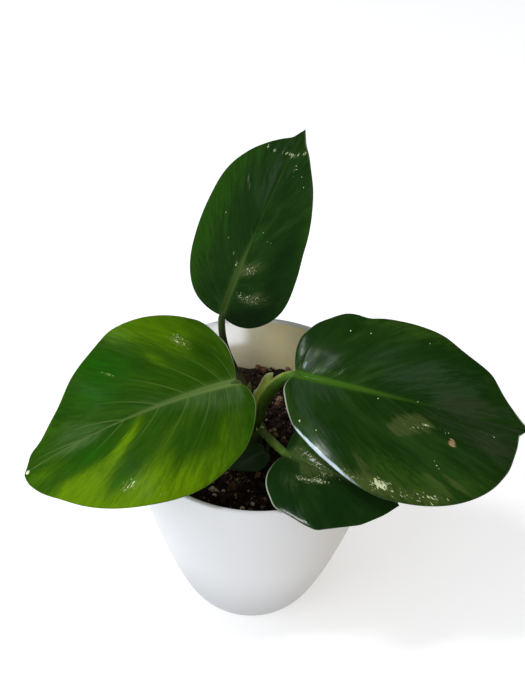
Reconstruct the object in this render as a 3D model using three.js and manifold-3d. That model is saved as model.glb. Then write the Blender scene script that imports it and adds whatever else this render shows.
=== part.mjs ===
import * as THREE from 'three';
import * as BufferGeometryUtils from 'three/addons/utils/BufferGeometryUtils.js';
import Module from 'manifold-3d';

// A potted green princess philodendron, in millimetres, +Z up.
// The origin is the middle of the pot's flat base. The plant is seen from -Y in the photograph.

const wasm = await Module();
wasm.setup();

// Driving dimensions of the pot
const POT_HEIGHT = 130;
const POT_RIM_RADIUS = 64;
const POT_BASE_RADIUS = 36.5;
const POT_WALL = 2;
const POT_FLOOR = 2.5;
const POT_ROUNDNESS_DOWN = 1.25;
const POT_ROUNDNESS_OUT = 1.27;
const POT_SIDES = 52;
const POT_STEPS = 13;
const POT_RIM_STEPS = 4;

// Driving dimensions of the soil and of what lies in it
const SOIL_DEPTH_BELOW_RIM = 33;
const SOIL_SWELL = 1.6;
const SOIL_MOUND_AT = [4, 52];
const SOIL_MOUND_HEIGHT = 3;
const SOIL_MOUND_SPREAD = 20;
const SOIL_RINGS = 8;
const SOIL_SIDES = 36;
const SOIL_EDGE_SETBACK = 0.5;
const CRUMB_COUNT = 90;
const CRUMB_RADIUS = [1.8, 3.6];
const CRUMB_FLATNESS = [1, 0.8, 0.75];
const CRUMB_STANDS_OUT = 0.3;
const CRUMB_CLEAR_OF_WALL = 1.5;
const CRUMB_CLEAR_OF_STEM = 3;
const FIT_GAP = 0.3;

// Driving dimensions of the short stem
const STEM_X = 0;
const STEM_Y = 5.5;
const STEM_RADIUS = 5;
const STEM_FOOT_Z = 66;
const STEM_TOP_Z = 112;
const STEM_RING_STEP = 6;
const STEM_RING_PROUD = 0.35;
const STEM_RING_CREST = 0.8;
const STEM_SIDES = 16;
const STEM_DOME_STEPS = 4;

// Driving dimensions that all the blades share
const BLADE_THICKNESS = 0.8;
const NORMAL_STEP = 1e-3;
const NORMAL_MARGIN = 0.03;
const RIB_STEPS = 32;
const ROWS = 22;
const COLUMNS = [0, 0.045, 0.12, 0.34, 0.58, 0.8, 1];
const RIB_DEPTH_AT_COLUMN = [1, 0.6, 0, 0, 0, 0, 0];
const LOBE_SHARE = 0.36;
const WAVE_START = 0.15;
const RIB_FADE = 0.85;
const DRIP_START = 0.88;
const MARGIN_PUSH_FADE = 20;

// Each leaf is a blade and a stalk. A blade starts at base and runs out along its midrib:
// heading is degrees round from +X, rise is degrees up, roll tips its right half down,
// arch is the droop near the base and near the tip, sweep curves it to the right, twist turns it.
// drip is how far the tip is drawn out into a small point.
// Each half has a width, and its outline is two curves: from the base round the lobe to the widest
// place, then on to the tip. Their handles are shares of the length or of the width.
// pushes are the small bays and bulges of the margin: where along it, how far they spread, how deep.
// lift and fall are the slopes, in degrees, of the half beside the midrib and at its margin.
// A stalk is one curve with four control points, from inside the stem to the base of the blade,
// and it stops stalkSeat short of that, just clear of the blade's underside. stalkRadius is its
// radius at the foot, in the middle and at the top.
// wings are the thin sheaths along a stalk: the shares of the stalk that a wing runs from and to,
// and the points that its free edge goes through.
const LEAVES = {
  top: {
    base: [-20, 46.5, 145],
    heading: 56.5,
    rise: 57,
    roll: -6.5,
    length: 101,
    arch: [12, 12.5],
    sweep: -5.5,
    twist: 6,
    drip: 2.5,
    left: {
      width: 35,
      widest: 0.42,
      lobe: 0.02,
      shoulder: 0.63,
      back: 0.23,
      fore: 0.46,
      point: 0.09,
      pointWidth: 0.23,
      lift: 13,
      fall: -15,
      pushes: [[0.62, 0.05, -0.4], [0.78, 0.05, 0.4], [0.9, 0.04, -0.9]],
    },
    right: {
      width: 35,
      widest: 0.26,
      lobe: 0.04,
      shoulder: 0.55,
      back: 0.19,
      fore: 0.31,
      point: 0.09,
      pointWidth: 0.32,
      lift: 11,
      fall: 1,
      pushes: [[0.3, 0.06, 0.5], [0.47, 0.04, -0.3], [0.7, 0.06, 0.5], [0.9, 0.05, -0.7]],
    },
    ribDepth: 1.8,
    waves: 2.5,
    waveHeight: 0.8,
    stalk: [[-0.5, 8.5, 103], [-2, 21.5, 123.5], [-20, 31, 127], [-20, 46.5, 145]],
    stalkRadius: [2.3, 2, 1.75],
    stalkSeat: 1.4,
    wings: [],
    colour: '#1f5a1c',
  },
  left: {
    base: [-9.5, -13, 158],
    heading: 210.5,
    rise: 10,
    roll: -18.5,
    length: 103,
    arch: [24.5, 21],
    sweep: -2,
    twist: 2,
    drip: 0,
    left: {
      width: 43,
      widest: 0.4,
      lobe: 0.13,
      shoulder: 0.25,
      back: 0.3,
      fore: 0.33,
      point: -0.02,
      pointWidth: 0.25,
      lift: 11,
      fall: -8,
      pushes: [[0.14, 0.03, -0.7], [0.22, 0.03, 0.8], [0.73, 0.06, -0.8], [0.91, 0.03, 0.6]],
    },
    right: {
      width: 43.5,
      widest: 0.37,
      lobe: 0.1,
      shoulder: 0.77,
      back: 0.23,
      fore: 0.16,
      point: 0.22,
      pointWidth: 0.32,
      lift: 8,
      fall: -3,
      pushes: [
        [0.11, 0.025, -1.3],
        [0.17, 0.025, 0.7],
        [0.38, 0.05, -0.8],
        [0.75, 0.06, -1.1],
        [0.94, 0.04, 1.6],
      ],
    },
    ribDepth: 2,
    waves: 3,
    waveHeight: 0.9,
    stalk: [[-3, 5, 103], [-7, -3.5, 122.5], [-6, -9.5, 143], [-9.5, -13, 158]],
    stalkRadius: [2.4, 2.2, 1.9],
    stalkSeat: 2.5,
    wings: [
      {
        from: 0.35,
        to: 0.86,
        edge: [[-4.5, -3.5, 121], [-4, -6.5, 134], [-3, -8.5, 143], [-2.5, -9.5, 151], [-3.5, -11, 157]],
      },
    ],
    colour: '#4f8a1e',
  },
  right: {
    base: [17, -8.5, 160],
    heading: -19.5,
    rise: 5,
    roll: 24,
    length: 108,
    arch: [17, 16],
    sweep: -12,
    twist: -4.5,
    drip: 3,
    left: {
      width: 37,
      widest: 0.38,
      lobe: 0.1,
      shoulder: 0.66,
      back: 0.29,
      fore: 0.37,
      point: 0.11,
      pointWidth: 0.3,
      lift: 14,
      fall: -10,
      pushes: [
        [0.13, 0.02, -1],
        [0.245, 0.035, 1.8],
        [0.3, 0.02, -0.9],
        [0.5, 0.06, 1.2],
        [0.72, 0.05, 1],
      ],
    },
    right: {
      width: 48,
      widest: 0.45,
      lobe: 0.13,
      shoulder: 0.28,
      back: 0.21,
      fore: 0.5,
      point: 0.09,
      pointWidth: 0.12,
      lift: 18,
      fall: -9,
      pushes: [
        [0.1, 0.03, -1.4],
        [0.16, 0.02, 0.6],
        [0.25, 0.06, -0.9],
        [0.73, 0.05, 1.2],
        [0.87, 0.035, -1.8],
      ],
    },
    ribDepth: 2,
    waves: 3.5,
    waveHeight: 0.9,
    stalk: [[2.5, 5.5, 103], [-2.5, -1, 121.5], [5.5, -2, 151], [17, -8.5, 160]],
    stalkRadius: [2.4, 3, 1.9],
    stalkSeat: 1.8,
    wings: [
      {
        from: 0.22,
        to: 0.74,
        edge: [
          [-0.5, 4.5, 118.5],
          [-1.5, 5, 126.5],
          [-2, 5, 133.5],
          [0, 4, 138],
          [2, 4, 144],
          [4, 3, 148.5],
          [7, 1, 151.5],
        ],
      },
      {
        from: 0.3,
        to: 0.84,
        edge: [
          [4.5, 2, 122.5],
          [6, 1, 129],
          [7.5, 0, 135],
          [10, -1, 141],
          [12, -2, 146],
          [13.5, -4.5, 152],
        ],
      },
    ],
    colour: '#235f1f',
  },
  low: {
    base: [14, -34, 135],
    heading: -34.5,
    rise: 11,
    roll: 16,
    length: 55.5,
    arch: [18.5, 26],
    sweep: -13.5,
    twist: 1,
    drip: 1,
    left: {
      width: 27,
      widest: 0.36,
      lobe: 0.12,
      shoulder: 0.61,
      back: 0.22,
      fore: 0.22,
      point: 0.12,
      pointWidth: 0.22,
      lift: 12,
      fall: -8,
      pushes: [[0.3, 0.04, 0.5], [0.5, 0.05, -0.5]],
    },
    right: {
      width: 28,
      widest: 0.42,
      lobe: 0.11,
      shoulder: 0.7,
      back: 0.25,
      fore: 0.18,
      point: 0.05,
      pointWidth: 0.26,
      lift: 15,
      fall: -3,
      pushes: [
        [0.24, 0.03, 1],
        [0.32, 0.04, -0.5],
        [0.45, 0.04, 0.8],
        [0.58, 0.05, -0.4],
        [0.69, 0.04, 0.4],
      ],
    },
    ribDepth: 1.5,
    waves: 2.5,
    waveHeight: 0.5,
    stalk: [[1, 1.5, 100.5], [2, -3.5, 121.5], [4.5, -21.5, 131.5], [14, -34, 135]],
    stalkRadius: [2.1, 2, 1.9],
    stalkSeat: 1.55,
    wings: [
      {
        from: 0.3,
        to: 0.6,
        edge: [[3, -1.5, 120], [3.5, -6, 121.5], [4.5, -10, 123], [6.5, -16.5, 126.5]],
      },
      {
        from: 0.3,
        to: 0.6,
        edge: [[0, -4, 118.5], [1, -8, 120.5], [2.5, -12, 122.5], [4.5, -18, 126]],
      },
    ],
    colour: '#174a17',
  },
  small: {
    base: [5, -9, 106.5],
    heading: -151,
    rise: 0,
    roll: 2,
    length: 19,
    arch: [8, 14],
    sweep: -4,
    twist: 0,
    drip: 1,
    left: {
      width: 9.5,
      widest: 0.42,
      lobe: 0.14,
      shoulder: 0.6,
      back: 0.25,
      fore: 0.25,
      point: 0.1,
      pointWidth: 0.25,
      lift: 10,
      fall: -4,
      pushes: [[0.3, 0.05, 0.3], [0.55, 0.06, -0.3]],
    },
    right: {
      width: 9.5,
      widest: 0.42,
      lobe: 0.14,
      shoulder: 0.6,
      back: 0.25,
      fore: 0.25,
      point: 0.1,
      pointWidth: 0.25,
      lift: 10,
      fall: -4,
      pushes: [[0.4, 0.05, -0.3]],
    },
    ribDepth: 0.9,
    waves: 2,
    waveHeight: 0.3,
    stalk: [[4, 4.5, 101.5], [7, 1, 102.5], [6.5, -4, 104.5], [5, -9, 105.5]],
    stalkRadius: [1.4, 1.3, 1.1],
    stalkSeat: 1.9,
    wings: [],
    colour: '#1c3a1c',
  },
};

// A stalk's rings and the sides of each, without and with wings
const STALK_STEPS = 14;
const STALK_SIDES = 12;
const WINGED_STALK_STEPS = 22;
const WINGED_STALK_SIDES = 18;
const WING_SLIMNESS = 1.6;

// Colours and finishes of the plain materials
const POT_FINISH = { color: '#eceef2', roughness: 0.35, metalness: 0 };
const SOIL_FINISH = { color: '#1c1512', roughness: 0.95, metalness: 0 };
const STEM_FINISH = { color: '#4e7a2c', roughness: 0.5, metalness: 0 };
const STALK_FINISH = { color: '#3f7a26', roughness: 0.4, metalness: 0 };
const BLADE_ROUGHNESS = 0.35;

// Small helpers
const radians = THREE.MathUtils.degToRad;

function seededRandom(seed) {
  let state = seed;
  return () => {
    state = (state * 1664525 + 1013904223) % 4294967296;
    return state / 4294967296;
  };
}

function closedGeometry(points, triangles) {
  const geometry = new THREE.BufferGeometry();
  const flat = points.flatMap((point) => [point.x, point.y, point.z]);
  geometry.setAttribute('position', new THREE.Float32BufferAttribute(flat, 3));
  geometry.setIndex(triangles.flat());
  geometry.computeVertexNormals();
  return geometry;
}

function toSolid(geometry) {
  const bare = geometry.clone();
  bare.deleteAttribute('normal');
  bare.deleteAttribute('uv');
  const merged = BufferGeometryUtils.mergeVertices(bare, 1e-4);
  const mesh = new wasm.Mesh({
    numProp: 3,
    vertProperties: new Float32Array(merged.attributes.position.array),
    triVerts: new Uint32Array(merged.index.array),
  });
  return new wasm.Manifold(mesh);
}

function toGeometry(solid) {
  const mesh = solid.getMesh();
  const geometry = new THREE.BufferGeometry();
  geometry.setAttribute('position', new THREE.BufferAttribute(mesh.vertProperties, 3));
  geometry.setIndex(new THREE.BufferAttribute(mesh.triVerts, 1));
  geometry.computeVertexNormals();
  return geometry;
}

function largestPiece(solid) {
  const pieces = solid.decompose();
  return pieces.reduce((best, piece) => (piece.volume() > best.volume() ? piece : best));
}

function namedMesh(name, geometry, finish) {
  const mesh = new THREE.Mesh(geometry, new THREE.MeshStandardMaterial(finish));
  mesh.name = name;
  return mesh;
}

// The pot's profile is a quarter of a superellipse between the rim and the flat base.
// inset is how far inside the outer face the wanted face lies, and floor its lowest height.
function potProfile(inset, floor, topZ) {
  const height = POT_HEIGHT - floor;
  const reach = POT_RIM_RADIUS - POT_BASE_RADIUS;
  const points = [];
  for (let step = 0; step <= POT_STEPS; step += 1) {
    const angle = (step / POT_STEPS) * (Math.PI / 2);
    const down = height * Math.sin(angle) ** (2 / POT_ROUNDNESS_DOWN);
    const out = reach * Math.cos(angle) ** (2 / POT_ROUNDNESS_OUT);
    const radius = POT_BASE_RADIUS + out - inset;
    points.push(new THREE.Vector2(radius, POT_HEIGHT - down));
  }
  const below = points.filter((point) => point.y < topZ - 1);
  const nextAbove = points[points.length - below.length - 1];
  const share = (topZ - below[0].y) / (nextAbove.y - below[0].y);
  return [below[0].clone().lerp(nextAbove, share), ...below];
}

function makePot() {
  const outer = potProfile(0, 0, POT_HEIGHT - POT_WALL / 2);
  const inner = potProfile(POT_WALL, POT_FLOOR, POT_HEIGHT - POT_WALL / 2);
  const middle = POT_RIM_RADIUS - POT_WALL / 2;
  const rim = [];
  for (let step = 1; step < POT_RIM_STEPS; step += 1) {
    const angle = (step / POT_RIM_STEPS) * Math.PI;
    const out = (POT_WALL / 2) * Math.cos(angle);
    const up = (POT_WALL / 2) * (Math.sin(angle) - 1);
    rim.push(new THREE.Vector2(middle - out, POT_HEIGHT + up));
  }
  const profile = [
    new THREE.Vector2(0, POT_FLOOR),
    ...inner.reverse(),
    ...rim,
    ...outer,
    new THREE.Vector2(0, 0),
  ];
  const geometry = new THREE.LatheGeometry(profile.reverse(), POT_SIDES);
  geometry.rotateX(Math.PI / 2);
  return geometry;
}

// The soil's top has soft swells and a mound against the back wall. Crumbs are sunk into it.
function soilHeight(x, y) {
  const swell = Math.sin(x * 0.11 + 0.6) * Math.cos(y * 0.09 - 0.4) + 0.5 * Math.sin((x + y) * 0.19);
  const fromMound = Math.hypot(x - SOIL_MOUND_AT[0], y - SOIL_MOUND_AT[1]) / SOIL_MOUND_SPREAD;
  const mound = SOIL_MOUND_HEIGHT * Math.exp(-(fromMound ** 2));
  return POT_HEIGHT - SOIL_DEPTH_BELOW_RIM + SOIL_SWELL * swell + mound;
}

function soilBody() {
  const edgeZ = POT_HEIGHT - SOIL_DEPTH_BELOW_RIM;
  const wall = potProfile(POT_WALL + FIT_GAP, POT_FLOOR + FIT_GAP, edgeZ);
  const points = [];
  const triangles = [];
  const ring = (radius, heightAt) => {
    const first = points.length;
    for (let side = 0; side < SOIL_SIDES; side += 1) {
      const angle = (side / SOIL_SIDES) * 2 * Math.PI;
      const x = radius * Math.cos(angle);
      const y = radius * Math.sin(angle);
      points.push(new THREE.Vector3(x, y, heightAt(x, y)));
    }
    return first;
  };
  const join = (lower, upper) => {
    for (let side = 0; side < SOIL_SIDES; side += 1) {
      const next = (side + 1) % SOIL_SIDES;
      triangles.push([lower + side, lower + next, upper + next]);
      triangles.push([lower + side, upper + next, upper + side]);
    }
  };
  points.push(new THREE.Vector3(0, 0, POT_FLOOR + FIT_GAP));
  const rising = wall.slice().reverse();
  let last = ring(rising[0].x, () => rising[0].y);
  for (let side = 0; side < SOIL_SIDES; side += 1) {
    triangles.push([0, last + ((side + 1) % SOIL_SIDES), last + side]);
  }
  rising.slice(1, -1).forEach((corner) => {
    const current = ring(corner.x, () => corner.y);
    join(last, current);
    last = current;
  });
  const rimRadius = rising[rising.length - 1].x - SOIL_EDGE_SETBACK;
  for (let step = 0; step < SOIL_RINGS; step += 1) {
    const radius = rimRadius * (1 - step / SOIL_RINGS);
    const current = ring(radius, soilHeight);
    join(last, current);
    last = current;
  }
  const top = points.length;
  points.push(new THREE.Vector3(0, 0, soilHeight(0, 0)));
  for (let side = 0; side < SOIL_SIDES; side += 1) {
    triangles.push([top, last + side, last + ((side + 1) % SOIL_SIDES)]);
  }
  return toSolid(closedGeometry(points, triangles));
}

function makeSoil() {
  const random = seededRandom(41);
  const reach = potProfile(POT_WALL + FIT_GAP, POT_FLOOR, POT_HEIGHT - SOIL_DEPTH_BELOW_RIM)[0].x;
  let soil = soilBody();
  for (let crumb = 0; crumb < CRUMB_COUNT; crumb += 1) {
    const size = THREE.MathUtils.lerp(CRUMB_RADIUS[0], CRUMB_RADIUS[1], random() ** 2);
    const fromStem = STEM_RADIUS + CRUMB_CLEAR_OF_STEM;
    const distance = THREE.MathUtils.lerp(fromStem, reach - size - CRUMB_CLEAR_OF_WALL, Math.sqrt(random()));
    const angle = random() * 2 * Math.PI;
    const x = distance * Math.cos(angle);
    const y = distance * Math.sin(angle);
    const geometry = new THREE.OctahedronGeometry(size, 0);
    geometry.rotateX(random() * Math.PI);
    geometry.rotateZ(random() * Math.PI);
    geometry.scale(...CRUMB_FLATNESS);
    geometry.translate(x, y, soilHeight(x, y) + size * CRUMB_STANDS_OUT);
    soil = soil.add(toSolid(geometry));
  }
  const holeHeight = POT_HEIGHT - STEM_FOOT_Z;
  const hole = new THREE.CylinderGeometry(
    STEM_RADIUS + STEM_RING_PROUD + FIT_GAP,
    STEM_RADIUS + STEM_RING_PROUD + FIT_GAP,
    holeHeight,
    STEM_SIDES,
  );
  hole.rotateX(Math.PI / 2);
  hole.translate(STEM_X, STEM_Y, STEM_FOOT_Z - FIT_GAP + holeHeight / 2);
  return toGeometry(largestPiece(soil.subtract(toSolid(hole))));
}

// The stem is short and stout, with a raised ring at each leaf scar and a blunt top.
function stemGeometry(extra) {
  const profile = [new THREE.Vector2(0, STEM_FOOT_Z - extra)];
  const radius = STEM_RADIUS + extra;
  for (let z = STEM_FOOT_Z; z < STEM_TOP_Z - STEM_RADIUS; z += STEM_RING_STEP) {
    profile.push(new THREE.Vector2(radius, z === STEM_FOOT_Z ? z - extra : z));
    profile.push(new THREE.Vector2(radius + STEM_RING_PROUD, z + STEM_RING_STEP * STEM_RING_CREST));
  }
  for (let step = 0; step < STEM_DOME_STEPS; step += 1) {
    const angle = (step / STEM_DOME_STEPS) * (Math.PI / 2);
    const x = radius * Math.cos(angle);
    const z = STEM_TOP_Z + extra - radius + radius * Math.sin(angle);
    profile.push(new THREE.Vector2(x, z));
  }
  profile.push(new THREE.Vector2(0, STEM_TOP_Z + extra));
  const geometry = new THREE.LatheGeometry(profile, STEM_SIDES);
  geometry.rotateX(Math.PI / 2);
  geometry.translate(STEM_X, STEM_Y, 0);
  return geometry;
}

// The stations of a midrib: where it is, and its forward, right and up directions there.
function midrib(leaf) {
  const rise = radians(leaf.rise);
  const heading = radians(leaf.heading);
  const forward = new THREE.Vector3(
    Math.cos(rise) * Math.cos(heading),
    Math.cos(rise) * Math.sin(heading),
    Math.sin(rise),
  );
  const right = forward.clone().cross(new THREE.Vector3(0, 0, 1)).normalize();
  right.applyAxisAngle(forward, radians(leaf.roll));
  const up = right.clone().cross(forward);
  const place = new THREE.Vector3(...leaf.base);
  const station = () => ({
    place: place.clone(),
    forward: forward.clone(),
    right: right.clone(),
    up: up.clone(),
  });
  const stations = [station()];
  for (let step = 0; step < RIB_STEPS; step += 1) {
    const share = (step + 0.5) / RIB_STEPS;
    const bend = radians(leaf.arch[0] * 2 * (1 - share) + leaf.arch[1] * 2 * share) / RIB_STEPS;
    const sweep = radians(leaf.sweep) / RIB_STEPS;
    const half = forward.clone().applyAxisAngle(right, -bend / 2).applyAxisAngle(up, -sweep / 2);
    place.addScaledVector(half, leaf.length / RIB_STEPS);
    forward.applyAxisAngle(right, -bend);
    up.applyAxisAngle(right, -bend);
    forward.applyAxisAngle(up, -sweep);
    right.applyAxisAngle(up, -sweep);
    right.applyAxisAngle(forward, radians(leaf.twist) / RIB_STEPS);
    up.crossVectors(right, forward).normalize();
    stations.push(station());
  }
  return stations;
}

// A point of a half's outline, as shares of the length and of the width, for along from 0 to 1.
function outlinePoint(half, along) {
  const lobe = new THREE.CubicBezierCurve(
    new THREE.Vector2(0, 0),
    new THREE.Vector2(-half.lobe, half.shoulder),
    new THREE.Vector2(half.widest - half.back, 1),
    new THREE.Vector2(half.widest, 1),
  );
  const tip = new THREE.CubicBezierCurve(
    new THREE.Vector2(half.widest, 1),
    new THREE.Vector2(half.widest + half.fore, 1),
    new THREE.Vector2(1 - half.point, half.pointWidth),
    new THREE.Vector2(1, 0),
  );
  if (along <= LOBE_SHARE) {
    return lobe.getPoint(along / LOBE_SHARE);
  }
  return tip.getPoint((along - LOBE_SHARE) / (1 - LOBE_SHARE));
}

// How far the bays and bulges push a half's margin out, in millimetres. Both ends stay as they are.
function marginPush(half, along) {
  const fade = Math.min(1, MARGIN_PUSH_FADE * along * (1 - along));
  const pushes = half.pushes.map(([place, spread, push]) => {
    return push * Math.exp(-(((along - place) / spread) ** 2));
  });
  return fade * pushes.reduce((total, push) => total + push, 0);
}

// A point of the blade's middle surface: along runs from base to tip, and across from the midrib,
// 0, to the margin, 1. side is 1 for the right half and -1 for the left.
function bladePoint(leaf, stations, side, along, across) {
  const half = side > 0 ? leaf.right : leaf.left;
  const outline = outlinePoint(half, along);
  const ribShare = along ** 2;
  const nearTip = Math.max(0, along - DRIP_START) / (1 - DRIP_START);
  const drawnOut = (leaf.drip / leaf.length) * nearTip ** 2;
  const share = ribShare + (outline.x - ribShare) * across ** 1.4 + drawnOut;
  const onRib = THREE.MathUtils.clamp(share, 0, 1);
  const index = Math.min(Math.floor(onRib * RIB_STEPS), RIB_STEPS - 1);
  const blend = onRib * RIB_STEPS - index;
  const mix = (key) => stations[index][key].clone().lerp(stations[index + 1][key], blend);
  const start = radians(half.lift);
  const turn = (radians(half.fall) - start) / half.width;
  const reach = (outline.y * half.width + marginPush(half, along)) * across;
  const out = (Math.sin(start + turn * reach) - Math.sin(start)) / turn;
  const rise = (Math.cos(start) - Math.cos(start + turn * reach)) / turn;
  const fade = THREE.MathUtils.smoothstep(along, 0, WAVE_START) * (1 - along ** 6);
  const wave = leaf.waveHeight * fade * across ** 2 * Math.sin(2 * Math.PI * leaf.waves * along + side);
  const point = mix('place');
  point.addScaledVector(mix('forward'), (share - onRib) * leaf.length);
  point.addScaledVector(mix('right'), side * out);
  point.addScaledVector(mix('up'), rise + wave);
  return point;
}

// A blade as a closed sheet: the same triangles above and below, and a strip along the margin.
// The midrib stands out below.
function bladeGeometry(leaf) {
  const stations = midrib(leaf);
  const last = COLUMNS.length - 1;
  const normalAt = (along, signed) => {
    const inside = THREE.MathUtils.clamp(along, NORMAL_MARGIN, 1 - NORMAL_MARGIN);
    const across = THREE.MathUtils.clamp(Math.abs(signed), NORMAL_MARGIN, 1 - NORMAL_STEP);
    const sides = signed === 0 ? [-1, 1] : [Math.sign(signed)];
    const normal = new THREE.Vector3();
    sides.forEach((side) => {
      const here = bladePoint(leaf, stations, side, inside, across);
      const ahead = bladePoint(leaf, stations, side, inside + NORMAL_STEP, across).sub(here);
      const outward = bladePoint(leaf, stations, side, inside, across + NORMAL_STEP).sub(here);
      normal.add(outward.cross(ahead).multiplyScalar(side).normalize());
    });
    return normal.normalize();
  };
  const points = [];
  const addPair = (along, index) => {
    const signed = Math.sign(index) * COLUMNS[Math.abs(index)];
    const middle = bladePoint(leaf, stations, index < 0 ? -1 : 1, along, Math.abs(signed));
    const normal = normalAt(along, signed);
    const rib = leaf.ribDepth * RIB_DEPTH_AT_COLUMN[Math.abs(index)] * (1 - RIB_FADE * along ** 2);
    points.push(middle.clone().addScaledVector(normal, BLADE_THICKNESS / 2));
    points.push(middle.clone().addScaledVector(normal, -BLADE_THICKNESS / 2 - rib));
  };
  const rowStart = [];
  for (let row = 0; row <= ROWS; row += 1) {
    rowStart.push(points.length);
    if (row === 0 || row === ROWS) {
      addPair(row / ROWS, 0);
    } else {
      for (let column = -last; column <= last; column += 1) {
        addPair(row / ROWS, column);
      }
    }
  }
  const vertex = (row, column, below) => {
    const single = row === 0 || row === ROWS;
    return rowStart[row] + (single ? 0 : (column + last) * 2) + below;
  };
  const triangles = [];
  const addBoth = (a, b, c) => {
    triangles.push([vertex(...a, 0), vertex(...b, 0), vertex(...c, 0)]);
    triangles.push([vertex(...a, 1), vertex(...c, 1), vertex(...b, 1)]);
  };
  for (let row = 0; row < ROWS; row += 1) {
    for (let column = -last; column < last; column += 1) {
      if (row > 0) {
        addBoth([row, column], [row, column + 1], [row + 1, column + 1]);
      }
      if (row < ROWS - 1) {
        addBoth([row, column], [row + 1, column + 1], [row + 1, column]);
      }
    }
    [-last, last].forEach((column) => {
      const corners = [
        vertex(row, column, 0),
        vertex(row + 1, column, 0),
        vertex(row + 1, column, 1),
        vertex(row, column, 1),
      ];
      if (column > 0) {
        corners.reverse();
      }
      triangles.push([corners[0], corners[1], corners[2]]);
      triangles.push([corners[0], corners[2], corners[3]]);
    });
  }
  return closedGeometry(points, triangles);
}

// Where the free edge of a wing is, seen from the middle of its stalk at one of the stalk's rings:
// its angle round the stalk, its distance, and how far it lies ahead of the ring.
function wingEdge(wing, share, centre, ring) {
  const along = (share - wing.from) / (wing.to - wing.from);
  const curve = new THREE.CatmullRomCurve3(wing.edge.map((corner) => new THREE.Vector3(...corner)));
  const edge = curve.getPoint(THREE.MathUtils.clamp(along, 0, 1)).sub(centre);
  const x = edge.dot(ring.normal);
  const y = edge.dot(ring.binormal);
  const present = along >= 0 && along <= 1;
  return {
    angle: Math.atan2(y, x),
    distance: present ? Math.hypot(x, y) : 0,
    ahead: edge.dot(ring.tangent),
  };
}

// How far a stalk's round section is drawn out towards a wing's edge, from 0 to 1, at a turn away
// from the wing's angle. The section runs smoothly from its round side to the thin edge.
function wingShare(radius, distance, turn) {
  if (distance <= radius) {
    return 0;
  }
  const shoulder = Math.acos(radius / distance);
  const drawn = 1 / Math.cos(Math.max(0, shoulder - turn)) - 1;
  return (drawn / (distance / radius - 1)) ** WING_SLIMNESS;
}

// One ring of a stalk: a circle, drawn out where it has wings.
function stalkRing(centre, radius, edges, ring, sides) {
  const first = edges.length > 0 ? edges[0].angle : 0;
  const points = [];
  for (let side = 0; side < sides; side += 1) {
    const angle = first + (side / sides) * 2 * Math.PI;
    let reach = radius;
    let ahead = 0;
    edges.forEach((edge) => {
      const turn = Math.acos(Math.cos(angle - edge.angle));
      const share = wingShare(radius, edge.distance, turn);
      if (radius + (edge.distance - radius) * share > reach) {
        reach = radius + (edge.distance - radius) * share;
        ahead = edge.ahead * share;
      }
    });
    const point = centre.clone();
    point.addScaledVector(ring.normal, reach * Math.cos(angle));
    point.addScaledVector(ring.binormal, reach * Math.sin(angle));
    point.addScaledVector(ring.tangent, ahead);
    points.push(point);
  }
  return points;
}

// A stalk with its wings, as one closed skin that stops just below the blade that it carries.
function stalkGeometry(leaf) {
  const corners = leaf.stalk.map((corner) => new THREE.Vector3(...corner));
  const back = corners[2].clone().sub(corners[3]).setLength(leaf.stalkSeat);
  corners[2].add(back);
  corners[3].add(back);
  const curve = new THREE.CubicBezierCurve3(...corners);
  const winged = leaf.wings.length > 0;
  const steps = winged ? WINGED_STALK_STEPS : STALK_STEPS;
  const sides = winged ? WINGED_STALK_SIDES : STALK_SIDES;
  const frames = curve.computeFrenetFrames(steps, false);
  const thickness = new THREE.QuadraticBezierCurve(
    new THREE.Vector2(0, leaf.stalkRadius[0]),
    new THREE.Vector2(0.5, 2 * leaf.stalkRadius[1] - (leaf.stalkRadius[0] + leaf.stalkRadius[2]) / 2),
    new THREE.Vector2(1, leaf.stalkRadius[2]),
  );
  const points = [];
  const triangles = [];
  for (let step = 0; step <= steps; step += 1) {
    const share = step / steps;
    const centre = curve.getPointAt(share);
    const ring = {
      tangent: frames.tangents[step],
      normal: frames.normals[step],
      binormal: frames.binormals[step],
    };
    const edges = leaf.wings.map((wing) => wingEdge(wing, share, centre, ring));
    points.push(...stalkRing(centre, thickness.getPoint(share).y, edges, ring, sides));
  }
  for (let step = 0; step < steps; step += 1) {
    for (let side = 0; side < sides; side += 1) {
      const next = (side + 1) % sides;
      const near = step * sides;
      const far = near + sides;
      triangles.push([near + side, near + next, far + next]);
      triangles.push([near + side, far + next, far + side]);
    }
  }
  const end = steps * sides;
  for (let side = 1; side < sides - 1; side += 1) {
    triangles.push([0, side + 1, side]);
    triangles.push([end, end + side, end + side + 1]);
  }
  return closedGeometry(points, triangles);
}

// The stem's place is cut out of a stalk's foot, with a small gap all round it.
function makeStalk(leaf) {
  const stalk = toSolid(stalkGeometry(leaf));
  return toGeometry(largestPiece(stalk.subtract(toSolid(stemGeometry(FIT_GAP)))));
}

const plant = new THREE.Group();
plant.add(namedMesh('pot', makePot(), POT_FINISH));
plant.add(namedMesh('soil', makeSoil(), SOIL_FINISH));
plant.add(namedMesh('stem', stemGeometry(0), STEM_FINISH));
Object.entries(LEAVES).forEach(([key, leaf]) => {
  const finish = { color: leaf.colour, roughness: BLADE_ROUGHNESS, metalness: 0 };
  plant.add(namedMesh(`blade_${key}`, bladeGeometry(leaf), finish));
  plant.add(namedMesh(`stalk_${key}`, makeStalk(leaf), STALK_FINISH));
});

export default plant;
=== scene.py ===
"""Finishes for a potted green princess philodendron: pot, soil, stem, stalks and five leaves.

Lengths are in millimetres in this script and turned into metres when a mesh is made.
The leaves, stalks and pot follow the same dimensions as the solids that they stand for.
"""
import math

import bpy
import numpy as np
from mathutils import Matrix, Vector


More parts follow.
